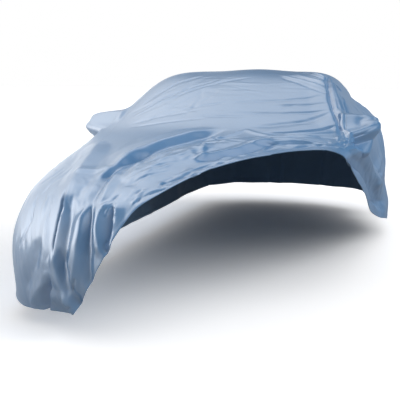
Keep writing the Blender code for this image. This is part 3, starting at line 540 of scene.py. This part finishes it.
def add_fold(height, along, across, rise, spreads, places, profile, end_share=1.0):
    """Add rise * profile(distance / spread) * fade along a curve, with a spread for each side of it.

    Towards the curve's two ends the spread narrows to its end share.
    """
    left, right = spreads
    curve = curve_through(places)
    reach = REACH_IN_SPREADS * max(left, right)
    low = curve.min(axis=0) - reach
    high = curve.max(axis=0) + reach
    near = (along > low[0]) & (along < high[0]) & (across > low[1]) & (across < high[1])
    if not near.any():
        return
    spots = np.stack((along[near], across[near]), axis=-1)[:, None]
    runs = np.diff(curve, axis=0)
    offsets = spots - curve[:-1]
    parts = np.clip((offsets * runs).sum(axis=-1) / (runs**2).sum(axis=-1), 0.0, 1.0)
    gaps = offsets - parts[..., None] * runs
    distances = np.hypot(gaps[..., 0], gaps[..., 1])
    closest = distances.argmin(axis=1)
    rows = np.arange(len(closest))
    gap = gaps[rows, closest]
    run = runs[closest]
    share = (closest + parts[rows, closest]) / len(runs)
    fade = np.clip(np.minimum(share, 1 - share) / FADE_SHARE, 0.0, 1.0)
    strength = fade**2 * (3 - 2 * fade)
    side = run[:, 0] * gap[:, 1] - run[:, 1] * gap[:, 0]
    taper = end_share + (1 - end_share) * strength
    spread = np.where(side > 0, right, left) * taper
    height[near] += rise * strength * profile(distances[rows, closest] / spread)


def sag_profile(ratio):
    """Bell: exp(-ratio^2)."""
    return np.exp(-ratio**2)


def tent(ratio, crest, foot):
    """Flat sides with a rounded crest and foot: (t + sqrt(t^2 + foot^2)) / 2, t = 1 - rounded ratio."""
    slope = 1 - (np.sqrt(ratio**2 + crest**2) - crest)
    return (slope + np.sqrt(slope**2 + foot**2)) / 2


def fold_profile(ratio):
    """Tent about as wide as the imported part's bell of the same spread."""
    return tent(ratio / FOLD_WIDTH, FOLD_CREST, FOLD_FOOT)


def crease_profile(ratio):
    """Sharper tent, whose flanks are as wide as its spread."""
    return tent(ratio, CREASE_CREST, CREASE_FOOT)


def wander(along, across):
    """Places moved a little by seeded waves: sum of move * sin(2 pi (waves . place) + phase)."""
    chance = np.random.default_rng(WANDER_SEED)
    moved = np.stack((along, across)).astype(float)
    for length, move, count in WANDER_WAVES:
        turns = chance.uniform(0, FULL_TURN, count)
        for turn, phase, heading in zip(turns, *chance.uniform(0, FULL_TURN, (2, count))):
            swing = np.sin(FULL_TURN * (along * math.cos(turn) + across * math.sin(turn)) / length + phase)
            moved[0] += move * math.cos(heading) * swing
            moved[1] += move * math.sin(heading) * swing
    return moved


def fold_height(along, across):
    """Sum of the main folds' heights."""
    height = np.zeros(along.shape)
    for _, rise, spread, *places in FOLDS:
        profile = sag_profile if spread > SAG_SPREAD else fold_profile
        add_fold(height, along, across, rise, (spread, spread), places, profile)
    return height


def crumple_creases():
    """Rows like CREASES, scattered along each crumple's band with a seeded random generator."""
    rows = []
    for name, count, seed, *numbers in CRUMPLES:
        start = np.array(numbers[0:2])
        way = np.array(numbers[2:4]) - start
        half_width, turn, jitter, length, rise, spread = numbers[4:]
        chance = np.random.default_rng(seed)
        run = way / np.hypot(*way)
        beside = np.array((-run[1], run[0]))
        shares = chance.uniform(0, 1, count)
        offsets = chance.uniform(-1, 1, count)
        middles = start + np.outer(shares, way) + np.outer(offsets * half_width, beside)
        headings = math.atan2(run[1], run[0]) + np.radians(turn + jitter * chance.normal(0, 1, count))
        halves = length / 2 * chance.uniform(*LENGTH_SHARES, count)
        steps = np.stack((np.cos(headings), np.sin(headings)), axis=-1) * halves[:, None]
        bows = chance.normal(0, BOW_SHARE, count)[:, None]
        bends = middles + steps[:, ::-1] * (1, -1) * 2 * bows
        rises = rise * chance.uniform(*RISE_SHARES, count) * chance.choice((-1, 1), count)
        spreads = spread * chance.uniform(*SPREAD_SHARES, (2, count))
        points = np.hstack((middles - steps, bends, middles + steps))
        rows += [(name, *row) for row in np.column_stack((rises, *spreads, points))]
    return tuple(rows)


ALL_CREASES = CREASES + crumple_creases()


def crease_height(along, across):
    """Sum of the creases' heights, in metres."""
    height = np.zeros(along.shape)
    for _, rise, left, right, *places in ALL_CREASES:
        spreads = left * MILLIMETRE, right * MILLIMETRE
        add_fold(height, along, across, rise * MILLIMETRE, spreads, places, crease_profile, CREASE_END_SHARE)
    return height


def pocket_push(along, across):
    """Push that raises both mirror pockets: reach * ((1 - |d|^flatness) * (1 - |o|^flatness))^shoulder.

    d and o are the places along and across, from -1 to 1 over the hump.  Its lower half is rounder, so that
    the cloth falls away at once below its middle.
    """
    down = np.clip(np.abs(along - POCKET_ALONG) / POCKET_HALF_LENGTH, 0.0, 1.0)
    push = np.zeros(along.shape + (3,))
    for side, reach in POCKET_REACH.items():
        over = np.clip((across * side - POCKET_ACROSS) / POCKET_HALF_HEIGHT, -1.0, 1.0)
        flatness = np.where(over > 0, POCKET_LOWER_FLATNESS, POCKET_FLATNESS)
        hump = ((1 - down**POCKET_FLATNESS) * (1 - np.abs(over)**flatness))**POCKET_SHOULDER
        push += hump[..., None] * np.array(reach)
    return push


def draped_cloth(along, across):
    """Middle surface and unit normals of the cloth on a grid: bare sheet, folds, pockets, then creases."""
    bare = smooth_sheet(along, across)
    moved = wander(along, across)
    folded = bare + grid_normals(bare) * fold_height(*moved)[..., None]
    folded += pocket_push(along, across)
    creased = folded + grid_normals(folded) * crease_height(*moved)[..., None]
    return creased, grid_normals(creased)


def lengthwise_shares():
    """Grid lines from the front edge, 0, to the rear hem, 1, closer together in the two hems."""
    hem = HEM_LINES / SHEET_LENGTH
    front = np.linspace(hem[-1], FRONT_SHARE, FRONT_STEPS + 1)
    rear = np.linspace(FRONT_SHARE, 1 - hem[-1], REAR_STEPS + 1)
    return np.concatenate((hem[:-1], front[:-1], rear, 1 - hem[-2::-1]))


def slanted_edge(along, across, front):
    """Distance from a front edge that slants across the grid, and how far along that edge."""
    slant = np.hypot(1.0, np.gradient(front, across[0]))
    return (along - front) / slant, across * slant


def centre_places():
    """Along and across of the centre panel's grid, whose front edge is the drawn-back hem, and its edges."""
    across = np.linspace(-SEAM_ACROSS, SEAM_ACROSS, CENTRE_STEPS + 1)
    front = smooth_line(CENTRE_HEM, across)
    along = front + (SHEET_LENGTH - front) * lengthwise_shares()[:, None]
    across = np.broadcast_to(across, along.shape)
    hems = slanted_edge(along, across, front), (SHEET_LENGTH - along, across)
    return along, across, hems, ((SEAM_ACROSS - np.abs(across), along),)


def right_places():
    """Along and across of the right panel's grid, from its hem to its seam, and its edges."""
    plain = np.linspace(HEM_ACROSS - HEM_LINES[-1], SEAM_ACROSS, SIDE_STEPS + 1)
    across = -np.concatenate((HEM_ACROSS - HEM_LINES[:-1], plain))
    along, across = np.broadcast_arrays(SHEET_LENGTH * lengthwise_shares()[:, None], across)
    hems = (along, across), (SHEET_LENGTH - along, across), (HEM_ACROSS + across, along)
    return along, across, hems, ((-SEAM_ACROSS - across, along),)


def left_places():
    """Along and across of the left panel's grid, from its seam to its drawn-back hem, and its edges."""
    hem_shares = HEM_LINES / (HEM_ACROSS - SEAM_ACROSS)
    plain = np.linspace(0.0, 1 - hem_shares[-1], SIDE_STEPS + 1)
    depth_share = np.concatenate((plain, 1 - hem_shares[-2::-1]))
    front = smooth_line(LEFT_FRONT_HEM, depth_share)
    along = front + (SHEET_LENGTH - front) * lengthwise_shares()[:, None]
    hem = smooth_line(LEFT_LOWER_HEM, along)
    across = SEAM_ACROSS + (hem - SEAM_ACROSS) * depth_share
    hems = slanted_edge(along, across, front), (SHEET_LENGTH - along, across), (hem - across, along)
    return along, across, hems, ((across - SEAM_ACROSS, along),)


def pocket_places(side):
    """Along and across of a pocket's grid over its whole hump, and its edges, which are all seams."""
    down = np.linspace(-POCKET_HALF_LENGTH, POCKET_HALF_LENGTH, POCKET_STEPS + 1)[:, None]
    over = np.linspace(-POCKET_HALF_HEIGHT, POCKET_HALF_HEIGHT, POCKET_STEPS + 1)
    along, across = np.broadcast_arrays(POCKET_ALONG + down, side * POCKET_ACROSS + over)
    seams = (POCKET_HALF_LENGTH - np.abs(down), across), (POCKET_HALF_HEIGHT - np.abs(over), along)
    return along, across, (), seams


def nearest_edge(edges):
    """Distance from the nearest of some edges, and how far along that edge."""
    distances, runs = (np.stack(np.broadcast_arrays(*values)) for values in zip(*edges))
    nearest = distances.argmin(axis=0)[None]
    return np.take_along_axis(distances, nearest, axis=0)[0], np.take_along_axis(runs, nearest, axis=0)[0]


def all_cells(along):
    """Every cell of a grid."""
    return np.ones((along.shape[0] - 1, along.shape[1] - 1), dtype=bool)


def pocket_cells(along, across):
    """Cells of a side panel's grid that the mirror pocket's hump covers."""
    along_middle = (along[1:, 1:] + along[:-1, :-1]) / 2
    across_middle = np.abs(across[1:, 1:] + across[:-1, :-1]) / 2
    inside = np.abs(along_middle - POCKET_ALONG) < POCKET_HALF_LENGTH
    return inside & (np.abs(across_middle - POCKET_ACROSS) < POCKET_HALF_HEIGHT)


def sheet_faces(kept_cells, points):
    """Triangles of a sheet's two faces, each cell parted along its shorter diagonal, and of its rim walls."""
    corner_count = len(points)
    rows, columns = np.nonzero(kept_cells)
    width = kept_cells.shape[1] + 1
    low = rows * width + columns
    quads = np.stack((low, low + 1, low + width + 1, low + width), axis=1)
    rising = np.linalg.norm(points[quads[:, 2]] - points[quads[:, 0]], axis=1)
    falling = np.linalg.norm(points[quads[:, 3]] - points[quads[:, 1]], axis=1)
    turned = np.where((falling < rising)[:, None], np.roll(quads, -1, axis=1), quads)
    outer = np.vstack((turned[:, (0, 1, 2)], turned[:, (0, 2, 3)]))
    inner = outer[:, ::-1] + corner_count
    edges = np.vstack([outer[:, pair] for pair in ((0, 1), (1, 2), (2, 0))])
    keys = edges[:, 0] * corner_count + edges[:, 1]
    partners = edges[:, 1] * corner_count + edges[:, 0]
    first, second = edges[~np.isin(partners, keys)].T
    walls = np.vstack((
        np.stack((second, first, first + corner_count), axis=1),
        np.stack((second, first + corner_count, second + corner_count), axis=1),
    ))
    return outer, inner, walls


def make_mesh(name, corners, faces, places, sewing, materials, face_materials):
    """Mesh object from arrays, with UV maps, in metres, of the cloth's own places and of its sewn edges."""
    mesh = bpy.data.meshes.new(name)
    mesh.vertices.add(len(corners))
    mesh.vertices.foreach_set("co", corners.astype(np.float32).ravel())
    mesh.loops.add(faces.size)
    mesh.loops.foreach_set("vertex_index", faces.astype(np.int32).ravel())
    mesh.polygons.add(len(faces))
    mesh.polygons.foreach_set("loop_start", np.arange(0, faces.size, faces.shape[1], dtype=np.int32))
    mesh.polygons.foreach_set("material_index", face_materials.astype(np.int32))
    for map_name, values in (("cloth", places), ("sewing", sewing)):
        uv_map = mesh.uv_layers.new(name=map_name)
        uv_map.data.foreach_set("uv", values[faces.ravel()].astype(np.float32).ravel())
    for material in materials:
        mesh.materials.append(material)
    mesh.update(calc_edges=True)
    mesh.validate()
    mesh.shade_smooth()
    mesh.set_sharp_from_angle(angle=SHARP_ANGLE)
    piece = bpy.data.objects.new(name, mesh)
    bpy.context.scene.collection.objects.link(piece)
    return piece


def build_sheet(name, node, grid, kept_cells, settings):
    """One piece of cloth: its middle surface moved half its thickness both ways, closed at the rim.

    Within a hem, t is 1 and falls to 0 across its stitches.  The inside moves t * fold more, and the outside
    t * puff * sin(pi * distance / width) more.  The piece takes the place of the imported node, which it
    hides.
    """
    along, across, hems, seams = grid
    points, normals = draped_cloth(along, across)
    points, normals = points.reshape(-1, 3), normals.reshape(-1, 3)
    distance = nearest_edge(hems)[0].ravel() if hems else np.ones(along.size)
    turned = np.clip((HEM_WIDTH - distance) / HEM_END + 1, 0.0, 1.0)
    half = settings.cloth_thickness / 2
    puff = HEM_PUFF * turned * np.sin(math.pi * np.clip(distance / HEM_WIDTH, 0.0, 1.0))
    outside = points + normals * (half + puff)[:, None]
    inside = points - normals * (half + HEM_FOLD * turned)[:, None]
    outer, inner, walls = sheet_faces(kept_cells, points)
    faces = np.vstack((outer, walls, inner))
    used, numbers = np.unique(faces, return_inverse=True)
    corners = np.vstack((outside, inside))[used]
    places = np.tile(np.stack((along.ravel(), across.ravel()), axis=-1), (2, 1))[used]
    sewn = [*hems, *((gap + SEAM_INSET, run) for gap, run in seams)]
    gap, run = nearest_edge(sewn)
    sewing = np.tile(np.stack((run.ravel(), gap.ravel()), axis=-1), (2, 1))[used]
    face_materials = np.repeat((0, 1), (len(outer) + len(walls), len(inner)))
    looks = (cloth_material(name + "_outside", settings, inside=False),
             cloth_material(name + "_inside", settings, inside=True))
    piece = make_mesh(name, corners, numbers.reshape(-1, 3), places, sewing, looks, face_materials)
    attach(piece, BODY)
    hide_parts(node)


def give(tree, socket, value):
    """Give an input another node's output, or else a number, colour or direction."""
    if isinstance(value, bpy.types.NodeSocket):
        tree.links.new(value, socket)
    else:
        socket.default_value = value


def add_node(tree, kind, *values, **named):
    """A shader node with its values: for its first inputs in order, or for a property or input by its name.

    In an input's name _ stands for a space.
    """
    node = tree.nodes.new(kind)
    for key, value in named.items():
        if hasattr(node, key):
            setattr(node, key, value)
        else:
            give(tree, node.inputs[key.replace("_", " ")], value)
    for socket, value in zip(node.inputs, values):
        give(tree, socket, value)
    return node


def calculated(tree, operation, *values):
    """Result of one maths operation on these values."""
    return add_node(tree, "ShaderNodeMath", *values, operation=operation).outputs["Value"]


def new_tree(owner):
    """The node tree of a new material or world."""
    owner.use_nodes = True
    return owner.node_tree


def stitch_mask(tree):
    """1 on each stitch: a narrow line beside the sewn edges, cut into dashes along its run."""
    sewing = add_node(tree, "ShaderNodeUVMap", uv_map="sewing")
    parts = add_node(tree, "ShaderNodeSeparateXYZ", Vector=sewing.outputs["UV"])
    line = calculated(tree, "COMPARE", parts.outputs["Y"], STITCH_ROW, STITCH_WIDTH / 2)
    phase = calculated(tree, "FLOORED_MODULO", parts.outputs["X"], STITCH_PITCH)
    dash = calculated(tree, "LESS_THAN", phase, STITCH_PITCH * STITCH_SHARE)
    return calculated(tree, "MULTIPLY", line, dash)


def clouded_colour(tree, place, stitches, colour, settings):
    """A colour with faint darker clouds, and the thread's colour on the stitches."""
    cloud = add_node(tree, "ShaderNodeTexNoise", Vector=place, **CLOUD_NOISE)
    tones = add_node(tree, "ShaderNodeValToRGB", Fac=cloud.outputs["Fac"])
    for stop, edge, share in zip(tones.color_ramp.elements, CLOUD_EDGES, (settings.shade_change, 1.0)):
        stop.position = edge
        stop.color = (*(channel * share for channel in colour), 1.0)
    thread = add_node(tree, "ShaderNodeMix", data_type="RGBA", Factor=stitches, A=tones.outputs["Color"],
                      B=(*settings.thread_colour, 1.0))
    return thread.outputs["Result"]


def cloth_bump(tree, place, weave_place, stitches, settings):
    """Bent normal of fine wrinkles, then the weave, then the stitches, each bump on top of the one before."""
    wrinkles = add_node(tree, "ShaderNodeTexNoise", Vector=place, **WRINKLE_NOISE)
    scale = 1 / settings.thread_pitch / WAVE_RADIANS * math.pi
    threads = [add_node(tree, "ShaderNodeTexWave", bands_direction=direction, Vector=weave_place, Scale=scale)
               for direction in ("X", "Y")]
    weave = calculated(tree, "MAXIMUM", *(thread.outputs["Fac"] for thread in threads))
    layers = (
        (wrinkles.outputs["Fac"], WRINKLE_BUMP, settings.wrinkle_height),
        (weave, WEAVE_BUMP, settings.thread_pitch * WEAVE_HEIGHT_SHARE),
        (stitches, STITCH_BUMP, STITCH_WIDTH / 2),
    )
    below = {}
    for height, strength, distance in layers:
        bump = add_node(tree, "ShaderNodeBump", Height=height, Strength=strength, Distance=distance, **below)
        below = {"Normal": bump.outputs["Normal"]}
    return bump.outputs["Normal"]


def cloth_material(name, settings, inside):
    """Smooth coated cloth: satin sheen, faint shade changes, fine wrinkles and a plain weave in its bump."""
    material = bpy.data.materials.new(name)
    tree = new_tree(material)
    place = add_node(tree, "ShaderNodeTexCoord").outputs
    stitches = stitch_mask(tree)
    colour = settings.inside_colour if inside else settings.cloth_colour
    looks = {
        "Base Color": clouded_colour(tree, place["Object"], stitches, colour, settings),
        "Roughness": settings.inside_roughness if inside else settings.cloth_roughness,
        "IOR": INSIDE_INDEX if inside else settings.gloss_index,
        "Specular IOR Level": INSIDE_SPECULAR if inside else 1.0,
        "Sheen Weight": INSIDE_SHEEN if inside else settings.sheen,
        "Sheen Roughness": SHEEN_ROUGHNESS,
        "Normal": cloth_bump(tree, place["Object"], place["UV"], stitches, settings),
    }
    for socket, value in looks.items():
        give(tree, tree.nodes["Principled BSDF"].inputs[socket], value)
    return material


def setting(name, description, default, **more):
    """A number that a user may change."""
    return bpy.props.FloatProperty(name=name, description=description, default=default, **more)


def colour_setting(name, description, default):
    """A colour that a user may change."""
    return bpy.props.FloatVectorProperty(name=name, description=description, default=default, subtype="COLOR")


def light_setting(name, words, default):
    """The strength of a light, which a user may change."""
    return setting(name, "Strength of the " + words, default)


# Limits of a setting that is a share.
SHARE = {"min": 0, "max": 1, "subtype": "FACTOR"}


class CoverClothSettings(bpy.types.PropertyGroup):
    """Sizes and colours of the cloth."""
    cloth_thickness: setting("Cloth thickness", "Thickness of the cloth", 0.0018, min=0.001, unit="LENGTH")
    cloth_colour: colour_setting("Cloth colour", "Colour of the coated outside", (0.09, 0.225, 0.43))
    inside_colour: colour_setting("Inside colour", "Colour of the cloth's inside", (0.20, 0.32, 0.48))
    thread_colour: colour_setting("Thread colour", "Colour of the stitches", (0.07, 0.17, 0.33))
    cloth_roughness: setting("Outside roughness", "Roughness of the satin outside", 0.30, **SHARE)
    inside_roughness: setting("Inside roughness", "Roughness of the dull inside", 0.6, **SHARE)
    gloss_index: setting("Gloss index", "Refractive index of the satin coating", 2.0, min=1)
    sheen: setting("Sheen", "Share of soft sheen on the outside", 0.05, **SHARE)
    shade_change: setting("Shade change", "Brightness left in the cloth's faint dark clouds", 0.93, **SHARE)
    wrinkle_height: setting("Wrinkle height", "Height of the fine wrinkles' bump", 0.0016, unit="LENGTH")
    thread_pitch: setting("Thread pitch", "Distance between two threads of the weave", 0.0006, precision=5,
                          unit="LENGTH")


class StudioSettings(bpy.types.PropertyGroup):
    """Floor and light.  Left and right are the picture's."""
    floor_colour: colour_setting("Floor colour", "Brightness of the plain pale floor", (1.3, 1.3, 1.31))
    # The right bounce, lower than the left, is painted shade on the floor, seen only in the light it throws
    # back.
    left_bounce: setting("Left bounce", "Share of the light that the floor throws back on the left", 0.95)
    right_bounce: setting("Right bounce", "Share of the light that the floor throws back on the right", 0.26)
    key_strength: light_setting("Key light", "soft light from the front left", 0.2)
    top_strength: light_setting("Top light", "broad light from the front right overhead", 0.95)
    fill_strength: light_setting("Fill light", "soft light from the right", 1.9)
    even_light: light_setting("Even light", "even light from all round", 0.44)
    side_gloss: light_setting("Side softbox", "softbox that the gloss shows on the left", 2.0)
    front_gloss: light_setting("Front softbox", "softbox that the gloss shows at the front left", 1.35)
    top_gloss: light_setting("Top softbox", "softbox that the gloss shows overhead", 1.45)
    right_gloss: light_setting("Right softbox", "weak softbox that the gloss shows on the right", 0.7)
    rear_gloss: light_setting("Rear softbox", "softbox that the gloss shows low behind the cover", 0.40)
    low_gloss: light_setting("Low softbox", "softbox that the gloss shows low behind on the left", 1.2)
    dark_gloss: light_setting("Dark surroundings", "rest that the gloss shows", 0.02)


class COVER_OT_centre_panel(bpy.types.Operator):
    """Build the long panel from the front hem over the top to the rear hem"""
    bl_idname = "cover.centre_panel"
    bl_label = "Centre panel"

    def execute(self, context):
        grid = centre_places()
        settings = context.scene.cover_cloth
        build_sheet("centre_cloth", "centre_panel", grid, all_cells(grid[0]), settings)
        return {"FINISHED"}


class COVER_OT_side_panels(bpy.types.Operator):
    """Build both side panels, each with a hole for its mirror pocket"""
    bl_idname = "cover.side_panels"
    bl_label = "Side panels"

    def execute(self, context):
        settings = context.scene.cover_cloth
        for side, grid in (("right", right_places()), ("left", left_places())):
            kept = ~pocket_cells(*grid[:2])
            build_sheet("side_cloth_" + side, "side_panel_" + side, grid, kept, settings)
        return {"FINISHED"}


class COVER_OT_mirror_pockets(bpy.types.Operator):
    """Build the two pockets that stand out of the sides"""
    bl_idname = "cover.mirror_pockets"
    bl_label = "Mirror pockets"

    def execute(self, context):
        settings = context.scene.cover_cloth
        for side, grid in (("right", pocket_places(-1)), ("left", pocket_places(1))):
            kept = all_cells(grid[0])
            build_sheet("pocket_cloth_" + side, "mirror_pocket_" + side, grid, kept, settings)
        return {"FINISHED"}


def add_sun(name, towards, width, strength):
    """Even, soft light from one direction, as from a softbox that is this many degrees across."""
    lamp = bpy.data.lights.new(name, "SUN")
    lamp.angle = math.radians(width)
    lamp.energy = strength
    light = bpy.data.objects.new(name, lamp)
    light.location = [LAMP_DISTANCE * step for step in towards]
    light.rotation_euler = Vector(towards).to_track_quat("Z", "Y").to_euler()
    light.visible_glossy = False
    bpy.context.scene.collection.objects.link(light)


def softbox_lobe(tree, place, towards, start, strength):
    """Soft patch of light on the surroundings, from its start to full strength in its middle."""
    side = add_node(tree, "ShaderNodeVectorMath", place, towards, operation="DOT_PRODUCT")
    lobe = add_node(tree, "ShaderNodeMapRange", interpolation_type="SMOOTHSTEP", Value=side.outputs["Value"],
                    From_Min=start, From_Max=1.0, To_Min=0.0, To_Max=strength)
    return lobe.outputs["Result"]


def add_world(settings):
    """Surroundings that look white, give even light, and are dark with six softboxes in the gloss."""
    world = bpy.data.worlds.new("studio")
    tree = new_tree(world)
    tree.nodes.remove(tree.nodes["Background"])
    place = add_node(tree, "ShaderNodeTexCoord").outputs["Generated"]
    total = settings.dark_gloss
    for name, (towards, start) in SOFTBOXES.items():
        strength = getattr(settings, name + "_gloss")
        total = calculated(tree, "ADD", softbox_lobe(tree, place, towards, start, strength), total)
    gloss, even, seen = (
        add_node(tree, "ShaderNodeBackground", Color=WHITE, Strength=strength).outputs["Background"]
        for strength in (total, settings.even_light, 1.0))
    light = shader_by_ray(tree, "Is Glossy Ray", even, gloss)
    look = shader_by_ray(tree, "Is Camera Ray", light, seen)
    give(tree, tree.nodes["World Output"].inputs["Surface"], look)
    bpy.context.scene.world = world


def shader_by_ray(tree, kind, others, chosen):
    """One shader for one kind of ray, and another for all other rays."""
    ray = add_node(tree, "ShaderNodeLightPath")
    return add_node(tree, "ShaderNodeMixShader", ray.outputs[kind], others, chosen).outputs["Shader"]


def floor_material(settings):
    """Plain matt floor, which throws back more light on the left than on the right: painted shade in its
    colour for bounced light.
    """
    material = bpy.data.materials.new("floor")
    tree = new_tree(material)
    tree.nodes.remove(tree.nodes["Principled BSDF"])
    place = add_node(tree, "ShaderNodeTexCoord").outputs["Object"]
    across = add_node(tree, "ShaderNodeSeparateXYZ", Vector=place).outputs["X"]
    bounce = add_node(tree, "ShaderNodeMapRange", interpolation_type="SMOOTHSTEP", Value=across,
                      From_Min=BOUNCE_LEFT, From_Max=BOUNCE_RIGHT, To_Min=settings.left_bounce,
                      To_Max=settings.right_bounce)
    light, seen = (
        add_node(tree, "ShaderNodeBsdfDiffuse", Color=colour).outputs["BSDF"]
        for colour in (bounce.outputs["Result"], (*settings.floor_colour, 1.0)))
    look = shader_by_ray(tree, "Is Camera Ray", light, seen)
    give(tree, tree.nodes["Material Output"].inputs["Surface"], look)
    return material


def add_floor(settings):
    """A wide square on the floor's level."""
    sides = (-1, -1), (1, -1), (1, 1), (-1, 1)
    corners = [(x * FLOOR_HALF, y * FLOOR_HALF, -TOP_REST_HEIGHT) for x, y in sides]
    mesh = bpy.data.meshes.new("floor")
    mesh.from_pydata(corners, [], [(0, 1, 2, 3)])
    mesh.materials.append(floor_material(settings))
    floor = bpy.data.objects.new("floor", mesh)
    bpy.context.scene.collection.objects.link(floor)


def add_camera():
    """The camera at the picture's viewing angle."""
    lens = bpy.data.cameras.new("camera")
    lens.sensor_width = CAMERA_SENSOR
    lens.lens = CAMERA_LENS
    camera = bpy.data.objects.new("camera", lens)
    camera.location = CAMERA_PLACE
    camera.rotation_euler = (math.radians(90 - CAMERA_DOWN), 0.0, math.radians(CAMERA_TURN))
    bpy.context.scene.collection.objects.link(camera)
    bpy.context.scene.camera = camera


class COVER_OT_studio(bpy.types.Operator):
    """Set up the pale floor, the soft lights and the camera"""
    bl_idname = "cover.studio"
    bl_label = "Studio"

    def execute(self, context):
        settings = context.scene.cover_studio
        add_floor(settings)
        for name, (towards, width) in LAMPS.items():
            add_sun(name, towards, width, getattr(settings, name + "_strength"))
        add_world(settings)
        add_camera()
        context.scene.view_settings.view_transform = "Standard"
        return {"FINISHED"}


class COVER_PT_sidebar(bpy.types.Panel):
    """Lists the pieces, and the cloth's and studio's settings"""
    bl_idname = "COVER_PT_sidebar"
    bl_label = "Fitted car cover"
    bl_space_type = "VIEW_3D"
    bl_region_type = "UI"
    bl_category = "Cover"

    def draw(self, context):
        for operator in OPERATORS:
            self.layout.operator(operator.bl_idname)
        for settings in (context.scene.cover_cloth, context.scene.cover_studio):
            for name in settings.__annotations__:
                self.layout.prop(settings, name)


OPERATORS = (COVER_OT_centre_panel, COVER_OT_side_panels, COVER_OT_mirror_pockets, COVER_OT_studio)
CLASSES = (CoverClothSettings, StudioSettings, *OPERATORS, COVER_PT_sidebar)


def register():
    for item in CLASSES:
        bpy.utils.register_class(item)
    bpy.types.Scene.cover_cloth = bpy.props.PointerProperty(type=CoverClothSettings)
    bpy.types.Scene.cover_studio = bpy.props.PointerProperty(type=StudioSettings)


def unregister():
    del bpy.types.Scene.cover_studio
    del bpy.types.Scene.cover_cloth
    for item in reversed(CLASSES):
        bpy.utils.unregister_class(item)


def main():
    register()
    bpy.ops.cover.centre_panel()
    bpy.ops.cover.side_panels()
    bpy.ops.cover.mirror_pockets()
    bpy.ops.cover.studio()


if __name__ == "__main__":
    main()
